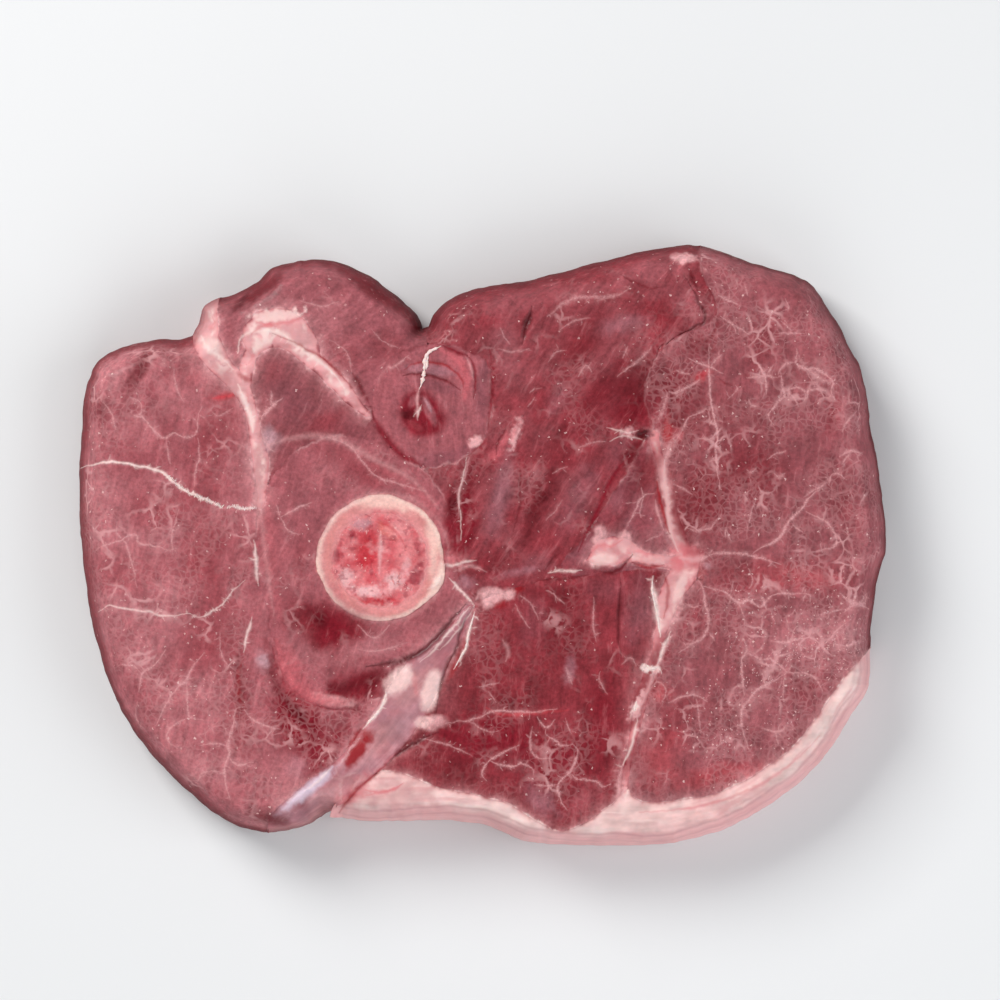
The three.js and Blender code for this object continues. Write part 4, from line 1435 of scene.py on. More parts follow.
@dataclass
class Strewn:
    """Small rounded bits that lie half sunk in part of the face, such as flecks of fat or bony struts."""

    name: str
    spots: tuple                  # Marbling ovals whose flecks value is the crowding
    length: float                 # of the longest bit, in millimetres
    slender: float                # its width as a share of its length
    crowd: float                  # bits for each square millimetre at full crowding
    tint: Tint
    finish: "Finish"
    seed: int = 5

    def tree(self) -> bpy.types.NodeTree:
        """The node tree: points spread over the faces, each with a turned and stretched bit."""
        board, given, out = growth_tree(self.name + " growth", {
            "Length": (NUMBER, 0.0005), "Slender": (NUMBER, 0.5), "Crowd": (NUMBER, 1e6),
            "Seed": ("NodeSocketInt", 0), "Tint": ("NodeSocketColor", (1.0, 1.0, 1.0, 1.0))})
        crowding = board.add("GeometryNodeInputNamedAttribute", {"Name": "crowding"}, data_type="FLOAT")
        spread = board.add("GeometryNodeDistributePointsOnFaces", {
            "Mesh": given.outputs["Geometry"], "Seed": given.outputs["Seed"],
            "Density": board.maths("MULTIPLY", crowding.outputs["Attribute"], given.outputs["Crowd"])})
        bit = board.add("GeometryNodeMeshIcoSphere", {"Radius": 0.5, "Subdivisions": 1})
        turn = board.add("FunctionNodeRandomValue", {"Min": (0.0, 0.0, 0.0), "Max": (0.5, 0.5, 6.283),
                                                     "Seed": given.outputs["Seed"]}, data_type="FLOAT_VECTOR")
        size = board.add("FunctionNodeRandomValue", {2: 0.35, 3: 1.0, "Seed": given.outputs["Seed"]},
                         data_type="FLOAT")
        long = board.maths("MULTIPLY", given.outputs["Length"], size.outputs[1])
        thin = board.maths("MULTIPLY", long, given.outputs["Slender"])
        scale = board.add("ShaderNodeCombineXYZ", {0: long, 1: thin, 2: board.maths("MULTIPLY", thin, 0.6)})
        laid = board.add("GeometryNodeInstanceOnPoints", {
            "Points": spread.outputs["Points"], "Instance": bit.outputs["Mesh"],
            "Rotation": turn.outputs[0], "Scale": scale.outputs[0]})
        end_tree(board, out, laid.outputs[0], given.outputs["Tint"], self.finish)
        return board.tree

    def build(self, skin: Skin) -> None:
        """Takes the faces under the spots and grows the bits on them."""
        flat = skin.points[:, :2]
        crowding = np.zeros(len(flat))
        for i, spot in enumerate(self.spots):
            crowding = np.maximum(crowding, spot.cover(flat, SPOT_SEED + i) * spot.flecks)
        crowding *= ease(-0.2, 0.5, clouds(flat, 2.6, self.seed, 3)) * skin.upper
        chosen = skin.faces[(crowding[skin.faces] > 0.02).all(1)]
        used = np.unique(chosen)
        renumber = np.zeros(len(flat), int)
        renumber[used] = np.arange(len(used))
        bed = to_object(self.name + "_bed", skin.points[used], renumber[chosen])
        layer = bed.data.attributes.new("crowding", "FLOAT", "POINT")
        layer.data.foreach_set("value", crowding[used])
        harden(self.name, bed, self.tree(), {
            "Length": self.length * MM, "Slender": self.slender, "Crowd": self.crowd / MM ** 2,
            "Seed": self.seed, "Tint": (*self.tint.light, 1.0)})


# --------------------------------------------------------------------------------------- bone and its marrow

@dataclass
class BoneRing(Piece):
    """The sawn wall of the femur, peach inside and paler towards its outer edge."""

    centre: tuple = (380.5, 558.0)
    radius: float = 13.2

    def carve(self, points: np.ndarray) -> np.ndarray:
        """A slightly crowned, rough sawn face."""
        far = np.hypot(*(points - at(*self.centre)).T)
        crown = 0.12 * bell(far - self.radius + 1.3, 1.2)
        return crown + 0.07 * clouds(points, 0.9, 3, 3)

    def own_colour(self, skin: Skin) -> np.ndarray:
        """Paler towards the outer edge, with a thin white rim."""
        flat = skin.points[:, :2]
        colour = super().own_colour(skin)
        far = np.hypot(*(flat - at(*self.centre)).T)
        rim = ease(self.radius - 1.3, self.radius - 0.2, far + 0.2 * noise(flat, 1.2, 4))[:, None]
        inner = ease(self.radius - 2.0, self.radius - 3.4, far + 0.5 * clouds(flat, 1.6, 6))[:, None]
        colour = colour + (Tint.MARROW_PALE.light - colour) * 0.75 * inner
        return colour + (Tint.BONE_CREAM.light - colour) * 0.85 * rim


@dataclass
class Marrow(Piece):
    """The marrow: red and pale blotches over spongy bone, paler at the wall."""

    def own_colour(self, skin: Skin) -> np.ndarray:
        """Blotches of three sizes, and a pale edge."""
        colour = Piece.own_colour(self, skin)
        flat = skin.points[:, :2]
        pale = ease(0.0, 0.9, clouds(flat, 1.9, 81, 4))
        colour = colour + (Tint.PEARL.light - colour) * (0.3 * pale)[:, None]
        dark = ease(0.25, 0.6, clouds(flat, 1.2, 82, 3))
        colour = colour + (Tint.WINE.light - colour) * (0.45 * dark)[:, None]
        edge = np.exp(-np.maximum(skin.seam_distance + 0.5 * clouds(flat, 1.0, 83, 2), 0) / 0.8)
        return colour + (Tint.MARROW_PALE.light - colour) * (0.45 * edge)[:, None]

    def carve(self, points: np.ndarray) -> np.ndarray:
        """Small pits and beads."""
        return 0.12 * clouds(points, 1.3, 62, 3) + 0.06 * clouds(points, 0.6, 63, 2)


@dataclass
class Fat(Piece):
    """Waxy fat, whiter inside, with pink and red streaks."""

    white: float = 0.6
    reddened: float = 0.6

    def own_colour(self, skin: Skin) -> np.ndarray:
        """The fat's colour with white cores and thin reddened threads."""
        colour = super().own_colour(skin)
        flat = skin.points[:, :2]
        bent = flat + 1.3 * np.column_stack([clouds(flat, 3.2, 61, 2), clouds(flat, 3.2, 62, 2)])
        core = ease(-0.15, 0.55, clouds(bent, 2.0, 65, 3)) * ease(0.15, 1.3, skin.seam_distance) * self.white
        colour = colour + (Tint.FAT_WHITE.light - colour) * core[:, None]
        thread = bell(noise(bent, 2.3, 63), 0.11) * ease(-0.15, 0.4, noise(flat, 4.0, 64)) * self.reddened
        return colour + (Tint.FAT_RED.light - colour) * (0.75 * thread)[:, None]

    def carve(self, points: np.ndarray) -> np.ndarray:
        """Soft knobs and furrows."""
        return 0.12 * clouds(points, 2.4, 66, 3)


@dataclass
class FatCover(Fat):
    """The outer fat: a white band along the meat, and a pinker side that rolls over."""

    band: float = 3.4

    def own_colour(self, skin: Skin) -> np.ndarray:
        """White fat with soft pink streaks that run along it."""
        colour = Piece.own_colour(self, skin)
        flat = skin.points[:, :2]
        along = np.column_stack([skin.rim_distance, flat / 9])
        pink = ease(0.0, 0.75, clouds(along, 1.1, 28, 3))
        colour = colour + (Tint.FAT_PINK.light - colour) * (0.55 * pink)[:, None]
        white = ease(0.1, 0.7, clouds(along, 0.8, 29, 3))
        return colour + (Tint.FAT_WHITE.light - colour) * (0.5 * white)[:, None]

    def paint_side_and_shade(self, skin: Skin, colour: np.ndarray) -> np.ndarray:
        """The side is pinker, with faint streaks along it and two lines of painted shade along the shoulder.
        """
        rough = 0.8 * clouds(skin.points, 7.0, 25, 3)
        edge = 1 - ease(self.band - 1.3, self.band + 0.6, skin.rim_distance + rough)
        around = np.column_stack([skin.points[:, 2] * 0.8 + skin.rim_distance, skin.points[:, :2] / 7])
        long_streaks = clouds(around, 1.2, 27, 3)
        side = Tint.FAT_PINK.light + (Tint.NUB.light - Tint.FAT_PINK.light) * (
            0.5 + 0.9 * long_streaks)[:, None]
        colour = colour + (side - colour) * (0.8 * edge)[:, None]
        # Two thin lines of painted shade along the shoulder, where the cut face turns down into the side.
        sway = skin.rim_distance + 0.9 * clouds(skin.points[:, :2], 12.0, 26, 2)
        shade_lines = 0.7 * bell(sway - 3.0, 0.3) + 0.5 * bell(sway - 1.4, 0.22)
        return colour + (Tint.FAT_SHADE_LINE.light - colour) * (0.7 * shade_lines)[:, None]

    def carve(self, points: np.ndarray) -> np.ndarray:
        """Soft swellings."""
        return 0.1 * clouds(points, 5.0, 66, 2)


@dataclass
class Fascia(Piece):
    """The wet lilac sheet between the muscles, with white lumps of fat and fine threads."""

    def carve(self, points: np.ndarray) -> np.ndarray:
        """Wrinkles along the sheet."""
        along = points @ np.array([0.7, 0.72])
        across = points @ np.array([0.72, -0.7])
        return 0.16 * clouds(np.column_stack([along * 0.5, across]), 1.5, 14, 3)


# ------------------------------------------------------------------------ the muscles, as the face shows them

def outer_thigh() -> Piece:
    """The large pale muscle at the left, crossed by two long veins."""
    return Piece(
        "muscle_outer_thigh", Finish("outer_thigh_meat", "lean", 78), Tint.ROSE, Tint.PALE_ROSE,
        mottle=0.55, net=0.66, flecks=0.12, side=Tint.BURGUNDY, seed=1,
        patches=(
            Patch(Tint.PALE_ROSE, 118, 385, 26, 22, 30, 0.6),
            Patch(Tint.BRICK, 190, 372, 30, 16, -20, 0.35),
            Patch(Tint.DUSKY_ROSE, 215, 450, 30, 40, 80, 0.35),
            Patch(Tint.BRICK, 160, 500, 60, 14, 8, 0.3),
            Patch(Tint.BRICK, 120, 570, 34, 22, 0, 0.3),
            Patch(Tint.PALE_ROSE, 105, 500, 24, 20, 0, 0.4),
            Patch(Tint.PALE_ROSE, 170, 590, 40, 16, 5, 0.35),
            Patch(Tint.BRICK, 190, 650, 46, 20, 40, 0.3),
            Patch(Tint.BURGUNDY, 240, 690, 34, 9, 88, 0.55),
            Patch(Tint.BURGUNDY, 297, 727, 26, 24, 30, 0.65),
            Patch(Tint.BURGUNDY, 250, 740, 24, 14, 60, 0.35),
            Patch(Tint.LILAC, 264, 660, 9, 11, 0, 0.5),
            Patch(Tint.PALE_ROSE, 180, 760, 36, 24, -30, 0.4),
            Patch(Tint.PALE_ROSE, 261, 486, 30, 6, 88, 0.75),
            Patch(Tint.VIVID, 226, 396, 16, 4, 10, 0.6),
            Patch(Tint.LILAC_GREY, 300, 765, 16, 12, 30, 0.4),
        ),
        strokes=(
            white_line(0.26, 0.85, (76, 468), (91, 465), (108, 462), (124, 463), (143, 467), (156, 470),
            (165, 474),
                       (174, 482), (184, 490)),
            feathered(0.24, 0.8, (160, 471), (174, 482), (184, 490), (198, 496), (211, 501), (222, 508)),
            feathered(0.26, 0.75, (232, 507), (244, 509), (256, 507)),
            vein(0.3, 0.5, (222, 508), (232, 507)),
            white_line(0.2, 0.75, (98, 612), (108, 605), (117, 607), (133, 610), (142, 611), (150, 611),
            (159, 615),
                       (175, 616), (190, 613)),
            feathered(0.2, 0.55, (190, 613), (200, 617), (213, 611), (225, 601), (232, 592), (244, 581)),
            vein(0.9, 0.25, (98, 612), (117, 607), (142, 611), (165, 615)),
            vein(0.26, 0.6, (103, 402), (112, 415), (116, 429)),
            vein(0.28, 0.7, (131, 398), (140, 402), (141, 412), (134, 416), (143, 417), (150, 426),
            (163, 438),
                 (174, 433), (184, 437), (196, 434), (198, 417), (202, 407)),
            vein(0.24, 0.55, (165, 439), (168, 453), (170, 464)),
            vein(0.24, 0.6, (198, 438), (199, 457), (195, 472), (195, 486)),
            vein(0.24, 0.5, (174, 369), (176, 386), (184, 402)),
            vein(0.24, 0.5, (212, 412), (220, 416), (232, 408)),
            vein(0.28, 0.65, (96, 550), (102, 546), (119, 541), (127, 536), (137, 535), (139, 543),
            (160, 547),
                 (171, 551)),
            vein(0.24, 0.55, (117, 521), (117, 533), (125, 542), (131, 559), (135, 577), (137, 588)),
            vein(0.24, 0.55, (179, 510), (175, 523), (172, 538), (173, 554)),
            vein(0.36, 0.75, (244, 707), (236, 710), (233, 726), (228, 743), (229, 754), (225, 768),
            (226, 787),
                 (230, 799)),
            vein(0.28, 0.65, (228, 747), (219, 744), (203, 744)),
            vein(0.28, 0.65, (229, 756), (238, 765), (253, 762)),
            vein(0.28, 0.6, (223, 772), (205, 772), (196, 783)),
            vein(0.3, 0.7, (244, 710), (253, 720), (267, 726), (280, 729)),
            vein(0.3, 0.7, (165, 651), (154, 665), (142, 674), (139, 691)),
            vein(0.26, 0.6, (142, 674), (133, 666), (119, 665)),
            vein(0.3, 0.7, (204, 653), (194, 665), (186, 680), (179, 686), (167, 703), (156, 726)),
            vein(0.26, 0.6, (186, 680), (188, 710), (190, 717), (202, 720)),
            vein(0.26, 0.6, (190, 717), (179, 722), (169, 730), (167, 739), (177, 749)),
            vein(0.24, 0.55, (220, 634), (220, 649), (226, 663), (234, 670)),
            vein(0.24, 0.5, (137, 703), (135, 720), (146, 732)),
            streak(Tint.VIVID, 0.45, 0.7, (212, 398), (226, 396), (241, 393)),
        ))


def upper_lobe() -> Piece:
    """The lobe at the top left."""
    return Piece(
        "muscle_upper_lobe", Finish("upper_lobe_meat", "lean_pale", 40), Tint.DUSKY_ROSE,
        Tint.ROSE, mottle=0.6, net=0.32, flecks=0.08, side=Tint.DEEP, seed=2,
        patches=(
            Patch(Tint.DEEP, 254, 292, 28, 8, 35, 0.7),
            Patch(Tint.FAT_PINK, 276, 320, 28, 11, -8, 0.45),
            Patch(Tint.PALE_ROSE, 330, 318, 24, 18, 0, 0.45),
            Patch(Tint.DEEP, 372, 288, 34, 9, -35, 0.75),
            Patch(Tint.DUSKY, 385, 345, 22, 16, 0, 0.4),
            Patch(Tint.BRICK, 350, 360, 26, 12, -40, 0.35),
        ),
        strokes=(
            streak(Tint.VIVID, 0.3, 0.5, (252, 316), (270, 322), (296, 320)),
            vein(0.26, 0.5, (300, 300), (320, 306), (338, 302)),
            vein(0.24, 0.5, (330, 340), (346, 352), (352, 372)),
            vein(0.24, 0.45, (372, 330), (384, 342), (398, 348)),
        ))


def front() -> Piece:
    """The dusky wedge above the bone, nearly without marbling."""
    return Piece(
        "muscle_front", Finish("front_meat", "lean", 60), Tint.DUSKY, Tint.DUSKY_ROSE,
        mottle=0.45, net=0.12, flecks=0.03, seed=3,
        patches=(
            Patch(Tint.GREY_PLUM, 290, 400, 34, 20, -30, 0.5),
            Patch(Tint.BRICK, 330, 425, 34, 12, -20, 0.4),
            Patch(Tint.LILAC, 267, 441, 11, 15, 80, 0.75),
            Patch(Tint.BRICK, 268, 372, 14, 16, 0, 0.35),
            Patch(Tint.DUSKY_ROSE, 355, 430, 18, 10, -40, 0.4),
        ),
        strokes=(
            vein(0.45, 0.85, (260, 424), (264, 414), (271, 407), (282, 398)),
            vein(0.3, 0.6, (271, 407), (272, 392)),
            vein(0.5, 0.6, (261, 432), (266, 444), (274, 452)),
        ))


def bone_wrap() -> Piece:
    """The muscle that surrounds the bone."""
    return Piece(
        "muscle_bone_wrap", Finish("bone_wrap_meat", "lean", 70), Tint.ROSE, Tint.DUSKY_ROSE,
        mottle=0.6, net=0.34, flecks=0.08, seed=4,
        patches=(
            Patch(Tint.BRICK, 372, 476, 20, 11, -20, 0.5),
            Patch(Tint.PALE_ROSE, 330, 462, 22, 14, 20, 0.4),
            Patch(Tint.BURGUNDY, 300, 560, 26, 9, 80, 0.35),
            Patch(Tint.BRICK, 420, 600, 22, 12, 40, 0.4),
            Patch(Tint.DUSKY_ROSE, 372, 640, 30, 12, 8, 0.4),
            Patch(Tint.PALE_ROSE, 300, 650, 14, 22, 80, 0.4),
            Patch(Tint.BRICK, 452, 540, 20, 6, 88, 0.45),
        ),
        strokes=(
            vein(0.3, 0.6, (326, 440), (336, 440), (351, 447), (361, 460), (376, 476), (395, 483),
            (426, 491)),
            vein(0.28, 0.7, (281, 517), (292, 510), (311, 503)),
            vein(0.24, 0.6, (281, 517), (276, 505)),
            vein(0.24, 0.6, (281, 517), (288, 530), (300, 534)),
            vein(0.22, 0.55, (358, 625), (374, 638), (390, 625)),
            vein(0.24, 0.55, (358, 649), (376, 651), (403, 644)),
        ))


def rolled() -> Piece:
    """The round rolled muscle with its folds, slit and cavity."""
    return Piece(
        "muscle_rolled", Finish("rolled_meat", "lean_pale", 95), Tint.ROSE, Tint.DUSKY_ROSE, mottle=0.5,
        net=0.16, flecks=0.05, side=Tint.DEEP, seed=5,
        patches=(
            Patch(Tint.GREY_PLUM, 482, 388, 42, 7, 86, 0.9),
            Patch(Tint.GREY_PLUM, 444, 458, 42, 10, 14, 0.75),
            Patch(Tint.GREY_PLUM, 455, 340, 40, 5, -24, 0.7),
            Patch(Tint.LILAC_GREY, 430, 370, 28, 6, -6, 0.6, 0.1, 0.5),
            Patch(Tint.GREY_PLUM, 436, 386, 24, 6, -14, 0.7, 0.1, 0.5),
            # Painted shade in the cavity's hollow and its darker core.
            Patch(Tint.HOLLOW, 422, 415, 26, 23, -70, 0.95, 0.15, 0.3),
            Patch(Tint.MAROON, 408, 415, 8, 7, 0, 0.75, 0.2, 0.6),
            Patch(Tint.DUSKY_ROSE, 429, 410, 17, 5, -66, 0.9, 0.15, 0.4),
            # Painted highlight on the cone.
            Patch(Tint.LILAC, 428, 405, 9, 1.8, -62, 0.6, 0.2, 0.5),
            Patch(Tint.BRICK, 415, 426, 9, 4, -30, 0.8, 0.2, 0.5),
            Patch(Tint.DUSKY_ROSE, 413, 401, 4, 8, -30, 0.7, 0.2, 0.5),
        ),
        strokes=(
            streak(Tint.LIVELY, 1.1, 0.75, (438, 348), (452, 356), (463, 368), (467, 384), (464, 400)),
            shaded_crease(Tint.DEEP, 0.34, 0.85, 0.4, (403, 376), (412, 374), (424, 374), (438, 378), (450, 383),
            (460, 390)),
            streak(Tint.BLOOD, 0.26, 0.7, (404, 370), (416, 363), (430, 362), (446, 366), (458, 374),
            (464, 386),
                   (462, 395)),
            shaded_crease(Tint.HOLLOW, 0.42, 0.9, 0.35, (441, 345), (448, 348), (455, 351), (462, 354), (468, 356)),
            shaded_crease(Tint.HOLLOW, 0.3, 0.85, 0.3, (468, 356), (473, 364), (475, 375), (475, 388), (474, 399)),
            # A raised pale rim along the band, coloured as a painted highlight.
            ridge(Tint.FAT_PINK, 0.3, 0.5, 0.1, (466, 358), (471, 368), (473, 380)),
            vein(0.3, 0.6, (385, 362), (392, 368), (400, 362), (408, 356)),
            ridge(Tint.FAT_PINK, 0.34, 0.8, 0.12, (419, 388), (417, 400), (417, 410), (418, 420)),
            white_line(0.2, 0.7, (421, 405), (418, 412), (419, 418)),
        ),
        lumps=(Lump(420, 414, 20, 19, -0.7), Lump(407, 416, 8, 6, -0.4), Lump(430, 409, 16, 5, 0.6, -66),
               Lump(430, 369, 28, 5, 0.3, -6), Lump(450, 420, 10, 20, 0.15)))


def inner_thigh() -> Piece:
    """The dark muscle in the middle, with a folded flap at the top."""
    return Piece(
        "muscle_inner_thigh", Finish("inner_thigh_meat", "lean_dark", 58, streak=0.26), Tint.BRICK,
        Tint.DUSKY, mottle=0.6, net=0.4, flecks=0.1, side=Tint.DEEP, seed=6,
        patches=(
            Patch(Tint.ROSE, 520, 300, 46, 14, 8, 0.6),
            Patch(Tint.ROSE, 590, 292, 46, 10, 12, 0.6),
            Patch(Tint.ROSE, 650, 272, 36, 12, 8, 0.75),
            Patch(Tint.ROSE, 690, 305, 18, 26, 60, 0.55),
            Patch(Tint.DUSKY_ROSE, 506, 350, 16, 36, 0, 0.5),
            Patch(Tint.LILAC_GREY, 620, 325, 30, 9, 15, 0.35),
            Patch(Tint.BURGUNDY, 660, 312, 26, 11, -20, 0.7),
            Patch(Tint.BURGUNDY, 580, 345, 26, 14, 60, 0.6),
            Patch(Tint.BURGUNDY, 598, 392, 24, 14, 40, 0.6),
            Patch(Tint.DEEP, 632, 408, 26, 14, 55, 0.85),
            Patch(Tint.GREY_PLUM, 556, 400, 20, 9, 60, 0.5),
            Patch(Tint.BURGUNDY, 560, 440, 26, 12, 55, 0.6),
            Patch(Tint.DEEP, 537, 505, 44, 10, 66, 0.8),
            Patch(Tint.DEEP, 466, 520, 40, 9, 84, 0.8),
            Patch(Tint.GREY_PLUM, 500, 495, 44, 13, 78, 0.6),
            Patch(Tint.GREY_PLUM, 578, 498, 44, 13, 62, 0.65),
            Patch(Tint.GREY_PLUM, 620, 450, 20, 9, 60, 0.5),
            Patch(Tint.BURGUNDY, 490, 560, 22, 20, 0, 0.5),
            Patch(Tint.GREY_PLUM, 530, 566, 24, 10, 40, 0.5),
            Patch(Tint.NUB, 515, 434, 15, 5, 72, 0.85, 0.5, 0.5),
            Patch(Tint.LIVELY, 500, 446, 30, 6, 50, 0.6, 0.6),
            Patch(Tint.NUB, 684, 258, 14, 6, 0, 0.85, 0.4, 0.5),
            Patch(Tint.MAROON, 528, 320, 9, 4, 70, 0.7),
            Patch(Tint.BLOOD, 646, 436, 7, 5, 0, 0.9),
            Patch(Tint.LILAC_GREY, 520, 572, 26, 4, 12, 0.5),
        ),
        strokes=(
            shaded_crease(Tint.MAROON, 0.5, 0.8, 0.35, (532, 307), (529, 318), (525, 330), (522, 344)),
            shaded_crease(Tint.MAROON, 0.3, 0.75, 0.3, (685, 276), (692, 288), (699, 302), (705, 313), (704, 322),
                   (694, 327), (682, 335), (671, 342), (660, 347), (657, 358)),
            shaded_crease(Tint.BURGUNDY, 0.28, 0.7, 0.2, (619, 274), (637, 283), (651, 288), (660, 287)),
            shaded_crease(Tint.DEEP, 0.5, 0.8, 0.3, (689, 268), (693, 278), (697, 290)),
            shaded_crease(Tint.DEEP, 0.35, 0.75, 0.2, (512, 422), (503, 433), (497, 445), (496, 454)),
            shaded_crease(Tint.DEEP, 0.3, 0.6, 0.15, (520, 460), (520, 485), (519, 510), (513, 531)),
            shaded_crease(Tint.DEEP, 0.3, 0.6, 0.12, (560, 552), (552, 560), (545, 570)),
            vein(0.5, 0.55, (548, 317), (560, 306), (580, 297), (605, 297), (623, 293), (630, 286)),
            vein(0.4, 0.6, (617, 376), (632, 365), (646, 354), (651, 347)),
            vein(0.22, 0.5, (623, 358), (628, 347)),
            vein(0.22, 0.55, (578, 376), (587, 365), (591, 372)),
            vein(0.22, 0.5, (530, 393), (535, 388)),
            vein(0.22, 0.5, (528, 406), (535, 397)),
            vein(0.28, 0.5, (470, 451), (465, 476), (460, 490), (458, 518)),
            vein(0.3, 0.5, (605, 442), (592, 443), (580, 447)),
            vein(0.22, 0.45, (500, 329), (505, 338), (510, 344)),
            vein(0.3, 0.5, (498, 349), (512, 352), (528, 349)),
            vein(0.2, 0.45, (553, 473), (560, 469), (566, 467)),
            vein(0.2, 0.4, (546, 520), (556, 510), (562, 500)),
            vein(0.26, 0.5, (560, 330), (572, 322), (590, 318)),
            vein(0.26, 0.5, (548, 362), (556, 352), (566, 350)),
            vein(0.24, 0.5, (655, 365), (657, 372), (660, 379)),
        ),
        lumps=(Lump(515, 434, 12, 4, 0.35, 72), Lump(684, 258, 12, 6, 0.4), Lump(630, 436, 8, 5, 0.25),
               Lump(646, 436, 6, 4, -0.4), Lump(655, 290, 34, 20, 0.35), Lump(500, 495, 40, 12, 0.18, 78),
               Lump(578, 498, 40, 12, 0.18, 62)))


def middle_wedge() -> Piece:
    """The small grey-brown wedge beside the star of fat."""
    return Piece(
        "muscle_middle_wedge", Finish("middle_wedge_meat", "lean_dark", 62), Tint.GREY_PLUM,
        Tint.BRICK, mottle=0.6, net=0.35, flecks=0.06, seed=7,
        patches=(
            Patch(Tint.DEEP, 648, 470, 18, 9, 60, 0.65),
            Patch(Tint.BURGUNDY, 616, 522, 20, 9, 50, 0.6),
            Patch(Tint.DUSKY, 655, 540, 20, 12, 0, 0.5),
            Patch(Tint.GREY_PLUM, 622, 490, 20, 10, 60, 0.5),
        ),
        strokes=(
            vein(0.3, 0.7, (654, 493), (642.5, 496.5), (634, 513), (627.6, 526)),
            vein(0.22, 0.55, (641, 488), (643, 498), (640, 511), (641, 518)),
            vein(0.22, 0.5, (646, 541), (654, 537), (661, 535)),
            vein(0.2, 0.45, (626, 503), (631, 503)),
        ))


def under_thigh() -> Piece:
    """The dark muscle below the middle, with a net of veins at its lower end."""
    return Piece(
        "muscle_under_thigh", Finish("under_thigh_meat", "lean_dark", 84, streak=0.26), Tint.BRICK,
        Tint.BURGUNDY, mottle=0.6, net=0.4, flecks=0.05, side=Tint.DEEP, seed=8,
        marbling=(marbled(560, 765, 80, 44, 0, 0.5, 0.08), marbled(638, 612, 30, 60, 0, 0.2, 0.02)),
        patches=(
            Patch(Tint.GREY_PLUM, 638, 612, 36, 16, 84, 0.75),
            Patch(Tint.GREY_PLUM, 534, 622, 26, 14, 80, 0.4),
            Patch(Tint.DEEP, 560, 594, 30, 8, 4, 0.5),
            Patch(Tint.GREY_PLUM, 606, 590, 14, 22, 80, 0.45),
            Patch(Tint.LILAC_GREY, 570, 668, 16, 6, 82, 0.65),
            Patch(Tint.DEEP, 560, 620, 26, 12, 84, 0.4),
            Patch(Tint.DEEP, 612, 690, 24, 12, 88, 0.45),
            Patch(Tint.DEEP, 520, 704, 20, 6, 5, 0.6),
            Patch(Tint.DEEP, 498, 732, 30, 12, 0, 0.65),
            Patch(Tint.DEEP, 456, 772, 28, 14, 20, 0.6),
            Patch(Tint.DEEP, 583, 756, 14, 16, 0, 0.65),
            Patch(Tint.DEEP, 613, 758, 12, 10, 0, 0.6),
            Patch(Tint.DEEP, 552, 748, 18, 11, 0, 0.5),
            Patch(Tint.LILAC_GREY, 540, 800, 22, 12, -50, 0.5),
            Patch(Tint.DUSKY, 520, 762, 26, 9, 0, 0.4),
            Patch(Tint.ROSE, 585, 800, 26, 14, 30, 0.4),
            Patch(Tint.BLOOD, 519, 588, 5, 5, 0, 0.8),
            Patch(Tint.DUSKY, 440, 700, 18, 30, 60, 0.4),
            Patch(Tint.DUSKY, 470, 640, 18, 26, 60, 0.4),
            Patch(Tint.BURGUNDY, 430, 764, 22, 12, -10, 0.5),
        ),
        strokes=(
            vein(0.3, 0.7, (446, 724), (458, 721), (469, 721), (486, 714), (494, 711), (512, 711), (532, 712),
                 (557, 709)),
            streak(Tint.VIVID, 0.5, 0.55, (486, 708), (500, 714), (517, 714), (550, 712), (569, 710)),
            vein(0.26, 0.6, (469, 721), (486, 731), (498, 731)),
            vein(0.26, 0.6, (420, 738), (436, 742), (453, 747), (472, 756)),
            vein(0.3, 0.75, (537, 717), (546, 728), (555, 720)),
            vein(0.28, 0.7, (546, 728), (546, 735), (557, 742), (560, 746), (573, 744)),
            vein(0.28, 0.7, (532, 726), (530, 742), (532, 752), (539, 758), (551, 759)),
            vein(0.36, 0.75, (519, 745), (501, 754), (489, 761), (482, 774), (487, 781)),
            vein(0.34, 0.8, (489, 761), (503, 765), (516, 766), (521, 763), (532, 768), (534, 774)),
            vein(0.36, 0.8, (573, 744), (578, 751), (575, 761), (569, 772), (559, 783), (559, 795),
            (562, 804),
                 (567, 810)),
            vein(0.32, 0.75, (569, 772), (576, 778), (587, 780), (596, 781), (603, 786), (610, 785)),
            vein(0.3, 0.7, (534, 785), (547, 786), (559, 784)),
            vein(0.24, 0.55, (566, 719), (568, 726), (571, 733)),
            vein(0.24, 0.55, (600, 672), (600, 681), (607, 694)),
            vein(0.22, 0.5, (622, 664), (630, 658), (636, 665)),
            vein(0.24, 0.6, (594, 598), (594, 609), (593, 626), (596, 642)),
            vein(0.22, 0.6, (546, 591), (553, 593), (558, 598), (565, 604)),
            vein(0.22, 0.5, (521, 596), (530, 603), (536, 613), (538, 619)),
            vein(0.22, 0.5, (515, 604), (522, 618), (530, 628)),
            vein(0.26, 0.6, (480, 687), (490, 685), (499, 683)),
            vein(0.22, 0.5, (489, 692), (496, 702)),
            vein(0.5, 0.55, (566, 668), (569, 676), (572, 684)),
            shaded_crease(Tint.MAROON, 0.35, 0.7, 0.15, (621, 578), (619, 609), (618, 634), (621, 656)),
            streak(Tint.FAT_ROSE, 0.45, 0.5, (503, 640), (508, 650), (506, 662)),
        ),
        lumps=(Lump(489, 596, 9, 8, 0.4), Lump(508, 594, 5, 5, 0.3), Lump(638, 612, 34, 14, 0.15, 84)))


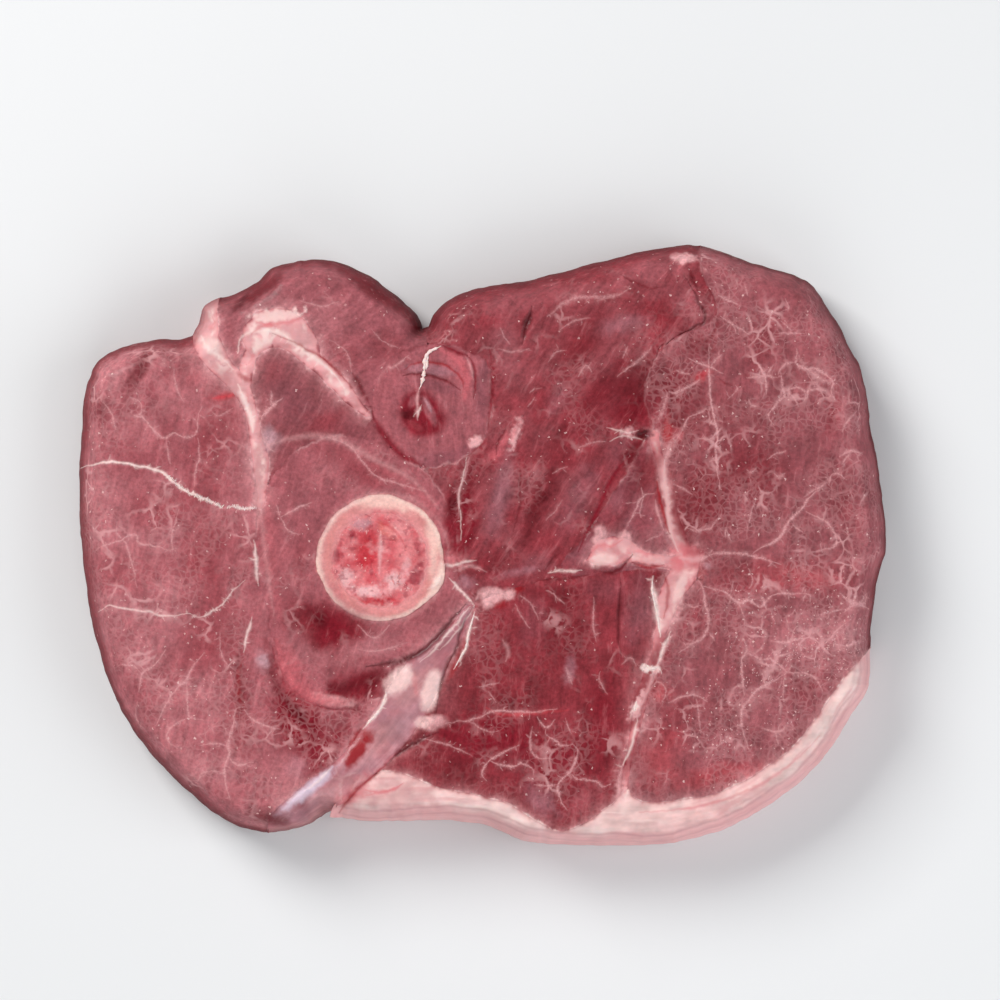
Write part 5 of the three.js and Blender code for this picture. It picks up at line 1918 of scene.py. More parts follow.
def back_thigh() -> Piece:
    """The large muscle at the right, finely marbled and densely flecked towards the fat."""
    return Piece(
        "muscle_back_thigh", Finish("back_thigh_meat", "lean", 84, net_cells=260), Tint.DUSKY,
        Tint.DUSKY_ROSE, mottle=0.5, mottle_size=8, net=0.74, flecks=0.12, rim_width=0.9, side=Tint.DEEP,
        seed=9,
        marbling=(
            marbled(800, 645, 76, 50, 10, 0.95, 0.55), marbled(722, 727, 40, 34, 0, 0.9, 0.6),
            marbled(850, 640, 36, 26, 76, 1.0, 0.5), marbled(778, 715, 34, 20, 62, 0.5, 0.1),
            marbled(800, 370, 60, 34, 0, 0.8, 0.15), marbled(690, 500, 30, 40, 0, 0.45, 0.03),
            marbled(735, 435, 30, 44, 0, 0.35, 0.08),
        ),
        patches=(
            Patch(Tint.ROSE, 740, 282, 50, 24, -20, 0.75),
            Patch(Tint.ROSE, 800, 330, 34, 30, -50, 0.65),
            Patch(Tint.ROSE, 850, 430, 60, 18, -72, 0.55),
            Patch(Tint.ROSE, 868, 545, 46, 16, 86, 0.6),
            Patch(Tint.BRICK, 762, 350, 36, 12, 60, 0.5),
            Patch(Tint.BURGUNDY, 700, 345, 14, 12, 0, 0.5),
            Patch(Tint.VIVID, 701, 376, 12, 5, 30, 0.75),
            Patch(Tint.BURGUNDY, 681, 425, 24, 9, 80, 0.6),
            Patch(Tint.BLOOD, 667, 432, 20, 4, 86, 0.85),
            Patch(Tint.BURGUNDY, 696, 500, 44, 22, 84, 0.6),
            Patch(Tint.BRICK, 740, 470, 44, 30, 0, 0.5),
            Patch(Tint.BRICK, 832, 418, 18, 8, 80, 0.6),
            Patch(Tint.VIVID, 790, 575, 50, 16, 0, 0.3),
            Patch(Tint.BRICK, 730, 580, 34, 22, 0, 0.45),
            Patch(Tint.BRICK, 690, 620, 22, 26, 80, 0.5),
            Patch(Tint.DUSKY_ROSE, 832, 545, 22, 14, 0, 0.4),
            Patch(Tint.BURGUNDY, 853, 575, 12, 5, 86, 0.55),
            Patch(Tint.PALE_ROSE, 800, 640, 60, 28, 10, 0.6),
            Patch(Tint.PALE_ROSE, 755, 700, 30, 22, 60, 0.45),
            Patch(Tint.PALE_ROSE, 845, 640, 34, 14, 76, 0.55),
            Patch(Tint.DUSKY_ROSE, 778, 715, 36, 22, 62, 0.75, 0.2, 0.5),
            Patch(Tint.BRICK, 806, 690, 18, 14, 40, 0.45),
            Patch(Tint.BRICK, 672, 720, 30, 26, 80, 0.6),
            Patch(Tint.VIVID, 660, 760, 30, 20, 60, 0.3),
            Patch(Tint.VIVID, 720, 775, 50, 12, 10, 0.35),
            Patch(Tint.ROSE, 700, 745, 30, 20, 0, 0.4),
            Patch(Tint.VIVID, 657, 692, 11, 10, 0, 0.45),
            Patch(Tint.BLOOD, 698, 571, 7, 9, 0, 0.7),
            Patch(Tint.LILAC, 707, 566, 4, 4, 0, 0.6),
            Patch(Tint.BURGUNDY, 840, 500, 12, 24, 0, 0.3),
        ),
        strokes=(
            vein(0.32, 0.8, (709, 345), (709, 365), (710, 383), (711, 401), (714, 419), (717, 429),
            (717, 438),
                 (716, 454), (717, 470), (721, 490)),
            vein(0.28, 0.7, (690, 359), (700, 364), (710, 367), (722, 373)),
            vein(0.26, 0.65, (710, 367), (716, 360), (722, 354)),
            vein(0.24, 0.6, (676, 370), (685, 374), (692, 373)),
            vein(0.34, 0.7, (669, 392), (676, 393), (692, 385), (700, 380)),
            vein(0.4, 0.6, (667, 394), (664, 406), (659, 419)),
            vein(0.26, 0.6, (711, 406), (700, 412), (688, 418), (682, 430), (678, 436)),
            vein(0.5, 0.55, (678, 433), (669, 445), (666, 458)),
            vein(0.3, 0.65, (718, 295), (733, 303), (740, 306)),
            vein(0.3, 0.6, (721, 316), (733, 325), (736, 333)),
            vein(0.26, 0.55, (733, 325), (742, 330), (748, 334)),
            vein(0.3, 0.6, (745, 286), (747, 295)),
            vein(0.26, 0.6, (786, 300), (789, 306), (788, 311)),
            vein(0.28, 0.6, (781, 321), (791, 330)),
            vein(0.26, 0.6, (776, 334), (793, 333), (804, 334)),
            vein(0.6, 0.75, (758, 363), (763, 370), (766, 380)),
            vein(0.3, 0.7, (747, 378), (757, 377), (766, 376), (776, 378)),
            vein(0.3, 0.7, (766, 376), (766, 394)),
            vein(0.3, 0.65, (766, 376), (773, 366)),
            vein(0.42, 0.8, (797, 350), (796, 363), (806, 369), (817, 369), (832, 381), (831, 392),
            (835, 400)),
            vein(0.7, 0.5, (797, 352), (806, 369), (830, 384), (834, 397)),
            vein(0.3, 0.6, (778, 375), (784, 365), (795, 362)),
            vein(0.34, 0.75, (781, 371), (783, 389), (784, 396), (776, 404), (768, 416), (774, 424)),
            vein(0.3, 0.7, (784, 392), (796, 387), (806, 391), (816, 389), (826, 390)),
            vein(0.26, 0.6, (789, 392), (799, 406)),
            vein(0.24, 0.55, (806, 391), (804, 400)),
            vein(0.3, 0.65, (857, 411), (846, 424), (842, 432)),
            vein(0.3, 0.7, (839, 457), (852, 451), (862, 454)),
            vein(0.26, 0.6, (852, 451), (842, 464)),
            vein(0.26, 0.65, (829, 485), (832, 475), (839, 474), (846, 480)),
            vein(0.3, 0.6, (804, 497), (819, 487), (828, 482)),
            vein(0.3, 0.6, (768, 459), (776, 454), (786, 451)),
            vein(0.45, 0.6, (775, 474), (779, 477), (784, 474)),
            vein(0.45, 0.6, (748, 470), (751, 472), (756, 468)),
            vein(0.24, 0.6, (748, 399), (752, 405), (758, 406)),
            vein(0.24, 0.55, (735, 385), (737, 390), (728, 399)),
            vein(0.22, 0.55, (670, 483), (682, 488), (692, 494)),
            vein(0.36, 0.8, (754, 553), (762, 548), (774, 542), (783, 533), (788, 523), (796, 514),
            (803, 507),
                 (808, 498), (821, 489)),
            vein(0.36, 0.75, (704, 558), (712, 555), (719, 553), (738, 553), (756, 557), (767, 560),
            (781, 564)),
            vein(0.3, 0.65, (806, 512), (817, 517), (828, 524), (835, 535), (835, 546), (817, 551)),
            vein(0.24, 0.6, (792, 523), (796, 528), (803, 532)),
            vein(0.26, 0.6, (685, 528), (696, 530), (710, 528), (719, 516)),
            vein(0.24, 0.55, (726, 528), (726, 538)),
            vein(0.24, 0.55, (756, 498), (751, 512), (747, 530)),
            vein(0.22, 0.55, (749, 569), (753, 580), (749, 588)),
            vein(0.22, 0.5, (733, 582), (731, 594)),
            vein(0.32, 0.75, (701, 586), (713, 589), (726, 592), (738, 603), (749, 600), (760, 607),
            (767, 600),
                 (776, 594), (792, 594), (808, 594), (810, 601)),
            vein(0.24, 0.6, (738, 603), (744, 616)),
            vein(0.24, 0.6, (771, 612), (774, 621)),
            vein(0.34, 0.75, (694, 576), (702, 586), (705, 603), (709, 619), (704, 636), (692, 644),
            (679, 652)),
            vein(0.24, 0.6, (709, 632), (715, 641)),
            vein(0.24, 0.6, (686, 604), (694, 607), (701, 606)),
            vein(0.28, 0.7, (744, 639), (747, 651), (742, 659), (742, 673), (744, 694)),
            vein(0.3, 0.7, (747, 651), (760, 659), (771, 659), (785, 671), (788, 673)),
            vein(0.34, 0.75, (788, 673), (781, 676), (767, 684), (756, 691), (749, 700), (742, 710),
            (742, 726),
                 (746, 741), (749, 750)),
            vein(0.26, 0.65, (788, 673), (803, 673), (815, 678), (822, 691)),
            vein(0.22, 0.55, (784, 676), (783, 700)),
            vein(0.34, 0.75, (771, 641), (785, 642), (797, 639), (805, 635)),
            vein(0.24, 0.6, (799, 642), (801, 651)),
            vein(0.3, 0.65, (821, 650), (828, 641), (839, 628), (846, 623)),
            vein(0.28, 0.65, (828, 642), (847, 646), (855, 641), (855, 655)),
            vein(0.7, 0.6, (846, 598), (855, 605), (864, 602)),
            vein(0.4, 0.7, (840, 594), (855, 605), (868, 594)),
            vein(0.4, 0.7, (844, 612), (855, 605), (871, 609)),
            vein(0.3, 0.6, (817, 616), (831, 612), (846, 609)),
            vein(0.26, 0.65, (762, 728), (774, 732), (783, 730), (785, 725)),
            vein(0.24, 0.6, (776, 732), (778, 744)),
            vein(0.26, 0.6, (669, 702), (682, 697), (694, 695), (708, 702)),
            vein(0.22, 0.55, (696, 696), (699, 717), (701, 733)),
            vein(0.22, 0.55, (650, 690), (658, 682), (666, 690), (662, 702)),
            shaded_crease(Tint.BURGUNDY, 0.25, 0.6, 0.1, (717, 377), (725, 383), (730, 384), (735, 390)),
            shaded_crease(Tint.BURGUNDY, 0.4, 0.6, 0.15, (717, 311), (718, 320), (714, 331), (707, 340), (694, 345)),
            shaded_crease(Tint.MAROON, 0.35, 0.8, 0.3, (695, 563), (692, 570), (695, 578), (702, 580)),
        ),
        lumps=(Lump(657, 692, 10, 11, 0.25), Lump(698, 571, 5, 7, -0.35), Lump(855, 605, 16, 8, 0.15)))


# ------------------------------------------------------------------------------- fat, fascia, bone and marrow

def fat_arch() -> Fat:
    """The fat that forks between the upper lobe, the front muscle and the outer thigh."""
    return Fat(
        "fat_arch", FAT_FINISH, Tint.NUB, Tint.FAT_PINK, mottle=0.5, mottle_size=3.5, lift=0.1, net=0,
        flecks=0, white=0.8, side=Tint.FAT_ROSE, ragged=0.65, seed=10)


def fat_star() -> Fat:
    """The three-armed star of fat with its thick lump and long tail."""
    return Fat(
        "fat_star", FAT_FINISH, Tint.FAT_PINK, Tint.FAT_RED, mottle=0.5, mottle_size=3.0, net=0, flecks=0,
        ragged=0.6, side=Tint.FAT_ROSE, seed=11)


def fat_cover() -> FatCover:
    """The outer fat along the bottom and the lower right."""
    return FatCover(
        "fat_cover", FAT_FINISH, Tint.FAT, Tint.FAT_WHITE, mottle=0.5, mottle_size=5, ragged=0.22, blur=0.7,
        net=0, flecks=0, side=Tint.FAT_ROSE, seed=12,
        patches=(
            Patch(Tint.FAT_RED, 352, 790, 26, 7, 40, 0.4),
            Patch(Tint.FAT_PINK, 420, 812, 60, 8, -6, 0.4),
            Patch(Tint.FAT_WHITE, 840, 700, 40, 8, 62, 0.5),
            Patch(Tint.FAT_PINK, 700, 815, 60, 8, 12, 0.35),
        ),
        strokes=(
            streak(Tint.FAT_RED, 0.35, 0.55, (366, 795), (380, 793), (392, 790), (403, 783)),
            streak(Tint.FAT_RED, 0.35, 0.5, (640, 812), (690, 808), (740, 794), (786, 768), (820, 736)),
            shaded_crease(Tint.FAT_ROSE, 0.5, 0.5, 0.2, (858, 690), (846, 712), (826, 740), (800, 770)),
        ),
        lumps=(Lump(620, 790, 8, 10, 0.2), Lump(850, 690, 20, 10, 0.25, 62)))


def fascia_band() -> Fascia:
    """The lilac sheet that runs down to the lower left edge."""
    return Fascia(
        "fascia_band", FASCIA_FINISH, Tint.LILAC_GREY, Tint.DUSKY_ROSE, mottle=0.6, mottle_size=3.5,
        lift=0.35, net=0.3, flecks=0, side=Tint.FAT_ROSE, seed=13,
        patches=(
            Patch(Tint.FAT_PINK, 372, 745, 40, 16, 46, 0.5),
            Patch(Tint.LILAC, 405, 725, 22, 14, 50, 0.6),
            Patch(Tint.NUB, 330, 795, 22, 12, 20, 0.4),
        ))


def femur_ring() -> BoneRing:
    """The sawn wall of the thigh bone."""
    return BoneRing(
        "femur_ring", BONE_FINISH, Tint.BONE, Tint.BONE_PEACH, mottle=0.5, mottle_size=3.2, lift=0.2,
        seam_soft=0.0, seam_crease=0.0, lift_run=1.0, ragged=0.22, blur=0.7, dapple=0.08, net=0, flecks=0,
        side=Tint.BONE, seed=14, face_step=0.26,
        patches=(
            Patch(Tint.BONE_CREAM, 390, 504, 40, 8, -6, 0.6),
            Patch(Tint.BONE_CREAM, 433, 545, 8, 38, 0, 0.6),
            Patch(Tint.BONE_PEACH, 328, 560, 34, 7, 88, 0.4),
            Patch(Tint.FAT_RED, 334, 590, 16, 7, -45, 0.4),
            Patch(Tint.FAT_WHITE, 439, 580, 5, 5, 0, 0.9),
            Patch(Tint.MARROW_PALE, 400, 608, 34, 5, 8, 0.4),
        ),
        strokes=(ridge(Tint.FAT_WHITE, 0.5, 0.5, 0.25, (428, 590), (436, 584), (441, 576)),))


def marrow() -> Marrow:
    """The red marrow with its spongy bone."""
    return Marrow(
        "marrow", MARROW_FINISH, Tint.MARROW, Tint.MARROW_PALE, mottle=0.5, mottle_size=2.2, net=0.1,
        flecks=0.3, seam_soft=0.0, seam_crease=0.0, sunk=0.0, lift_run=0.9, ragged=2.6, blur=0.8, dapple=0.14,
        side=Tint.MARROW_RED, seed=15, face_step=0.22,
        patches=(
            Patch(Tint.MARROW_RED, 366, 556, 12, 24, 0, 0.85, 0.5, 0.7),
            Patch(Tint.MARROW_RED, 374, 602, 30, 5, 0, 0.95, 0.4, 0.6),
            Patch(Tint.WINE, 335, 556, 5, 8, 0, 0.8, 0.6, 0.6),
            Patch(Tint.WINE, 352, 536, 5, 4, 40, 0.8, 0.6, 0.6),
            Patch(Tint.MARROW_ORANGE, 388, 531, 12, 6, -35, 0.45, 0.5, 0.7),
            Patch(Tint.LILAC, 361, 524, 10, 8, 0, 0.75, 0.3, 0.6),
            Patch(Tint.MARROW_PALE, 400, 530, 14, 9, -30, 0.6, 0.7, 0.7),
            Patch(Tint.MARROW_PALE, 402, 556, 9, 16, 0, 0.5, 0.7, 0.7),
            Patch(Tint.PEARL, 345, 576, 9, 11, 20, 0.8, 0.5, 0.7),
            Patch(Tint.PEARL, 366, 591, 18, 6, -4, 0.85, 0.5, 0.7),
            Patch(Tint.PEARL, 395, 580, 14, 9, 30, 0.75, 0.5, 0.7),
            Patch(Tint.PEARL, 407, 566, 5, 8, 0, 0.52, 0.5, 0.8),
            Patch(Tint.WINE, 419, 545, 4, 10, 20, 0.5, 1.1, 0.6),
            Patch(Tint.WINE, 418, 577, 6, 11, -40, 0.75, 1.2, 0.6),
        ),
        strokes=(
            streak(Tint.PEARL, 0.5, 0.55, (380, 531), (381, 545), (380, 558), (379, 573)),
            streak(Tint.WINE, 0.3, 0.55, (345, 531), (347, 522), (354, 515), (363, 513), (372, 518)),
            streak(Tint.MARROW_RED, 0.3, 0.5, (376, 522), (390, 527), (400, 537), (406, 549)),
        ),
        lumps=(Lump(361, 524, 9, 7, 0.3), Lump(368, 556, 9, 20, -0.25), Lump(336, 555, 5, 8, -0.3),
               Lump(417, 576, 7, 9, -0.25), Lump(376, 601, 24, 5, -0.2)))


# ------------------------------------------------------------------------------------------- studio and main

@dataclass
class Studio:
    """The pale floor, soft lights and overhead camera."""

    camera_height: float = 1.2
    view_width: float = 0.210
    sensor: float = 36.0

    def build(self) -> None:
        """Makes the floor, the lights, the world and the camera."""
        scene = bpy.context.scene
        scene.view_settings.view_transform = "Standard"
        self.floor()
        self.light("key", (-0.62, 0.66, 0.75), 0.55, 11.8, (1.0, 0.985, 0.97))
        self.light("fill", (0.75, -0.2, 0.6), 0.8, 4.7, (0.96, 0.98, 1.0))
        self.light("front", (0.0, -0.8, 0.55), 0.7, 3.0, (1.0, 1.0, 1.0))
        world = bpy.data.worlds.new("soft_room")
        world.use_nodes = True
        world.node_tree.nodes["Background"].inputs[0].default_value = (0.9, 0.92, 0.95, 1.0)
        world.node_tree.nodes["Background"].inputs[1].default_value = 0.2
        scene.world = world
        lens = bpy.data.cameras.new("camera")
        lens.sensor_width = self.sensor
        lens.lens = self.camera_height * self.sensor / self.view_width
        camera = bpy.data.objects.new("camera", lens)
        middle = at(500, 500) * MM
        camera.location = (middle[0], middle[1], self.camera_height + THICKNESS * MM)
        scene.collection.objects.link(camera)
        scene.camera = camera

    def floor(self) -> None:
        """A large pale floor under the slice."""
        size = 3.0
        mesh = bpy.data.meshes.new("floor")
        mesh.from_pydata([(-size, -size, 0), (size, -size, 0), (size, size, 0), (-size, size, 0)], [],
                         [(0, 1, 2, 3)])
        item = bpy.data.objects.new("floor", mesh)
        bpy.context.scene.collection.objects.link(item)
        item.location.z = -0.0002
        finish = bpy.data.materials.new("pale_floor")
        finish.use_nodes = True
        shader = finish.node_tree.nodes["Principled BSDF"]
        shader.inputs["Base Color"].default_value = (0.80, 0.81, 0.82, 1)
        shader.inputs["Roughness"].default_value = 0.7
        mesh.materials.append(finish)

    def light(self, name: str, place: tuple, size: float, power: float, tint: tuple) -> None:
        """A soft square light that looks at the slice.

        Args:
            name: the light's name.
            place: where it hangs, in metres.
            size: its side, in metres.
            power: its power, in watts.
            tint: its colour.
        """
        lamp = bpy.data.lights.new(name, "AREA")
        lamp.size = size
        lamp.energy = power
        lamp.color = tint
        item = bpy.data.objects.new(name, lamp)
        item.location = place
        item.rotation_euler = (-Vector(place)).to_track_quat("-Z", "Y").to_euler()
        bpy.context.scene.collection.objects.link(item)


def make_across() -> Across:
    """The forms and colours that cross the seams between pieces."""
    star = (
        Patch(Tint.BRICK, 665, 492, 52, 14, -74, 0.9),
        Patch(Tint.BURGUNDY, 682, 520, 34, 8, -74, 0.7),
        Patch(Tint.FAT_PINK, 663, 478, 20, 6, -80, 0.7),
        Patch(Tint.FAT_PINK, 676, 564, 14, 12, 0, 0.5),
        Patch(Tint.FAT, 604, 559, 14, 8, 10, 0.8, 0.4, 0.5),
        Patch(Tint.FAT_ROSE, 618, 548, 12, 8, 20, 0.6, 0.6),
        Patch(Tint.NUB, 600, 536, 7, 13, 10, 0.75, 0.5, 0.5),
        Patch(Tint.NUB, 626, 540, 6, 11, -10, 0.75, 0.5, 0.5),
        Patch(Tint.FAT_PINK, 672, 600, 36, 11, 74, 0.85, 0.5, 0.5),
        Patch(Tint.FAT, 680, 588, 24, 5, 72, 0.75, 0.5, 0.6),
        Patch(Tint.BRICK, 647, 685, 56, 11, 68, 0.9, 0.3, 0.6),
        Patch(Tint.FAT_RED, 684, 556, 18, 12, 0, 0.9, 0.5),
        Patch(Tint.BRICK, 695, 556, 10, 9, 0, 0.8, 0.5),
        Patch(Tint.FAT_WHITE, 650, 669, 8, 4, -10, 0.85, 0.8, 0.5),
        Patch(Tint.NUB, 637, 706, 15, 5, 66, 0.9, 0.7, 0.5),
        Patch(Tint.FAT_WHITE, 635, 708, 8, 3, 70, 0.8, 0.7, 0.5),
        Patch(Tint.BRICK, 634, 752, 22, 9, 72, 0.75),
        Patch(Tint.NUB, 620, 793, 10, 5, 80, 0.6, 0.7),
        Patch(Tint.VIVID, 668, 432, 12, 7, -60, 0.6),
        Patch(Tint.FAT_RED, 679, 434, 6, 8, -30, 0.8),
        # Painted shade in the small pit by the star's upper arm, with a tiny painted glint in it.
        Patch(Tint.MAROON, 644, 434, 9, 5, 0, 0.95, 0.3, 0.5),
        Patch(Tint.GREY_PLUM, 649, 434, 2.5, 3, 0, 0.8, 0.3, 0.5),
        Patch(Tint.NUB, 627, 433, 7, 4, 10, 0.75, 0.7, 0.6),
        Patch(Tint.DEEP, 630, 455, 16, 8, 55, 0.8, 0.3, 0.8),
    )
    bone_side = (
        Patch(Tint.NUB, 476, 441, 8, 5, 36, 0.9, 0.4, 0.5),
        Patch(Tint.HOLLOW, 460, 522, 42, 17, 84, 0.95, 0.3, 0.5),
        Patch(Tint.MAROON, 452, 505, 16, 6, 80, 0.6),
        Patch(Tint.DEEP, 470, 480, 30, 12, 60, 0.6),
        Patch(Tint.FAT_RED, 452, 560, 14, 7, 0, 0.55),
        Patch(Tint.LILAC_GREY, 466, 582, 8, 8, 0, 0.7),
        Patch(Tint.NUB, 490, 597, 14, 11, 30, 0.95, 0.35, 0.5),
        Patch(Tint.NUB, 508, 594, 8, 6, 0, 0.9, 0.35, 0.5),
        Patch(Tint.BLOOD, 500, 605, 7, 4, 0, 0.6),
    )
    # The wrap's lower end: dark red meat with painted shade in its hollows and under its lip (HOLLOW, MAROON,
    # DEEP), and a painted highlight on the lip.
    wrap = (
        Patch(Tint.BURGUNDY, 333, 634, 50, 32, -34, 0.85, 0.3, 0.6),
        Patch(Tint.HOLLOW, 330, 628, 36, 21, -38, 0.95, 0.3, 0.6),
        Patch(Tint.MAROON, 318, 618, 16, 9, -46, 0.55),
        Patch(Tint.PALE_ROSE, 360, 651, 40, 12, 12, 0.72, 0.3, 0.8),
        Patch(Tint.HOLLOW, 356, 688, 38, 15, 10, 0.95, 0.3, 0.6),
        Patch(Tint.MAROON, 342, 688, 16, 7, 0, 0.5),
        Patch(Tint.LIVELY, 296, 668, 28, 8, -64, 0.55, 0.3, 0.8),
        Patch(Tint.DEEP, 372, 678, 24, 9, 20, 0.8),
        Patch(Tint.BURGUNDY, 300, 618, 22, 9, -60, 0.4),
        Patch(Tint.HOLLOW, 299, 722, 44, 23, -62, 0.97, 0.3, 0.5),
        Patch(Tint.MAROON, 296, 712, 24, 7, -50, 0.6),
        Patch(Tint.DEEP, 273, 670, 30, 7, -78, 0.7),
        Patch(Tint.HOLLOW, 326, 748, 40, 16, 56, 0.9, 0.3, 0.6),
        Patch(Tint.DUSKY, 336, 724, 20, 9, 30, 0.7, 0.3, 0.7),
        Patch(Tint.DEEP, 355, 708, 14, 5, -30, 0.7),
        # Painted highlight on the lip.
        Patch(Tint.FAT_PINK, 332, 700, 22, 5, -12, 0.8, 0.3, 0.7),
        Patch(Tint.LILAC, 264, 660, 7, 9, 20, 0.8, 0.5, 0.5),
        Patch(Tint.BURGUNDY, 240, 710, 30, 10, 88, 0.5),
    )
    band = (
        Patch(Tint.FAT_ROSE, 414, 686, 28, 19, 50, 0.6, 0.3, 0.7),
        Patch(Tint.FAT, 400, 681, 17, 11, 35, 0.92, 0.25, 0.45),
        Patch(Tint.FAT, 431, 690, 22, 9, 74, 0.95, 0.2, 0.4),
        Patch(Tint.NUB, 431, 723, 17, 8, 8, 0.95, 0.2, 0.45),
        Patch(Tint.FAT, 424, 722, 9, 6, 10, 0.7, 0.3, 0.5),
        Patch(Tint.FAT_RED, 415, 684, 3, 11, 10, 0.45),
        Patch(Tint.DEEP, 412, 742, 22, 5, 38, 0.75, 0.3, 0.7),
        Patch(Tint.ICE, 309, 789, 36, 6, 39, 0.85, 0.25, 0.6),
        Patch(Tint.FAT_RED, 352, 796, 28, 10, 44, 0.85, 0.5),
        Patch(Tint.FAT_ROSE, 395, 794, 44, 14, -6, 0.7, 0.6),
        Patch(Tint.BLOOD, 358, 750, 20, 8, 56, 0.92, 0.4, 0.5),
        Patch(Tint.DEEP, 268, 818, 26, 9, -20, 0.8),
        Patch(Tint.BLOOD, 458, 660, 26, 3, 64, 0.6),
    )
    arch = (
        Patch(Tint.FAT_WHITE, 211, 345, 10, 8, -30, 0.6, 0.5, 0.6),
        Patch(Tint.FAT_ROSE, 224, 354, 14, 7, -50, 0.6, 0.6),
        Patch(Tint.FAT, 278, 315, 22, 6, 6, 0.85, 0.9, 0.5),
        Patch(Tint.FAT_PINK, 286, 331, 24, 6, -8, 0.8, 0.9, 0.5),
        Patch(Tint.FAT_ROSE, 228, 376, 18, 10, -40, 0.7, 0.6),
        Patch(Tint.BLOOD, 245, 378, 8, 3, -30, 0.6),
        Patch(Tint.LILAC, 267, 440, 6, 13, -15, 0.5, 0.5, 0.7),
        Patch(Tint.FAT_ROSE, 258, 470, 34, 5, 88, 0.8, 0.5, 0.6),
        Patch(Tint.DEEP, 262, 288, 28, 8, 38, 0.75),
        Patch(Tint.MAROON, 240, 302, 16, 4, 50, 0.6),
        Patch(Tint.BURGUNDY, 374, 288, 36, 9, -33, 0.7, 0.3, 0.8),
        Patch(Tint.BURGUNDY, 403, 308, 18, 6, -55, 0.5),
        Patch(Tint.DEEP, 140, 370, 32, 9, 58, 0.75),
        Patch(Tint.DEEP, 178, 344, 16, 7, 10, 0.6),
        Patch(Tint.DEEP, 100, 410, 16, 9, 70, 0.5),
    )
    tone = (
        Patch(Tint.BRICK, 215, 440, 60, 26, 82, 0.6),
        Patch(Tint.BRICK, 205, 555, 50, 26, 80, 0.5),
        Patch(Tint.BRICK, 180, 510, 40, 12, 20, 0.35),
        Patch(Tint.BRICK, 150, 590, 40, 30, 20, 0.25),
        Patch(Tint.BRICK, 215, 640, 30, 40, 10, 0.5),
        Patch(Tint.PALE_ROSE, 110, 520, 22, 60, 0, 0.3),
        Patch(Tint.HOLLOW, 560, 765, 66, 28, -10, 0.6),
        Patch(Tint.BRICK, 150, 440, 60, 60, 0, 0.16), Patch(Tint.BRICK, 218, 560, 34, 60, 0, 0.28),
        Patch(Tint.BRICK, 560, 290, 60, 24, -12, 0.25), Patch(Tint.FAT_RED, 688, 558, 14, 11, 0, 0.7),
        Patch(Tint.BRICK, 700, 500, 16, 34, 0, 0.3),
        Patch(Tint.HOLLOW, 490, 740, 56, 24, -6, 0.92),
        Patch(Tint.HOLLOW, 602, 715, 20, 40, 0, 0.65),
        Patch(Tint.BURGUNDY, 560, 640, 50, 26, 84, 0.4),
        Patch(Tint.BURGUNDY, 690, 400, 36, 60, 0, 0.5),
        Patch(Tint.HOLLOW, 655, 402, 40, 16, 40, 0.65),
        Patch(Tint.BURGUNDY, 636, 482, 30, 18, 60, 0.5),
        Patch(Tint.BURGUNDY, 580, 352, 34, 18, 50, 0.45),
        Patch(Tint.BURGUNDY, 705, 505, 28, 44, 0, 0.6),
        Patch(Tint.BURGUNDY, 752, 460, 40, 44, 0, 0.5),
        Patch(Tint.ROSE, 860, 450, 60, 14, 82, 0.5),
        Patch(Tint.HOLLOW, 606, 400, 50, 24, 50, 0.5),
        Patch(Tint.MAROON, 640, 380, 30, 30, 0, 0.35),
        Patch(Tint.DEEP, 548, 500, 50, 9, 66, 0.5),
        Patch(Tint.BRICK, 330, 420, 34, 8, 30, 0.45),
        Patch(Tint.BURGUNDY, 384, 348, 24, 18, 0, 0.35),
        Patch(Tint.BRICK, 352, 462, 40, 16, -20, 0.5),
        Patch(Tint.LILAC_GREY, 500, 495, 42, 10, 78, 0.3),
        Patch(Tint.BRICK, 540, 576, 60, 8, 6, 0.5),
    )
    halo = tuple((385 + 64 * math.cos(k / 5), 557 + 63 * math.sin(k / 5)) for k in range(33))
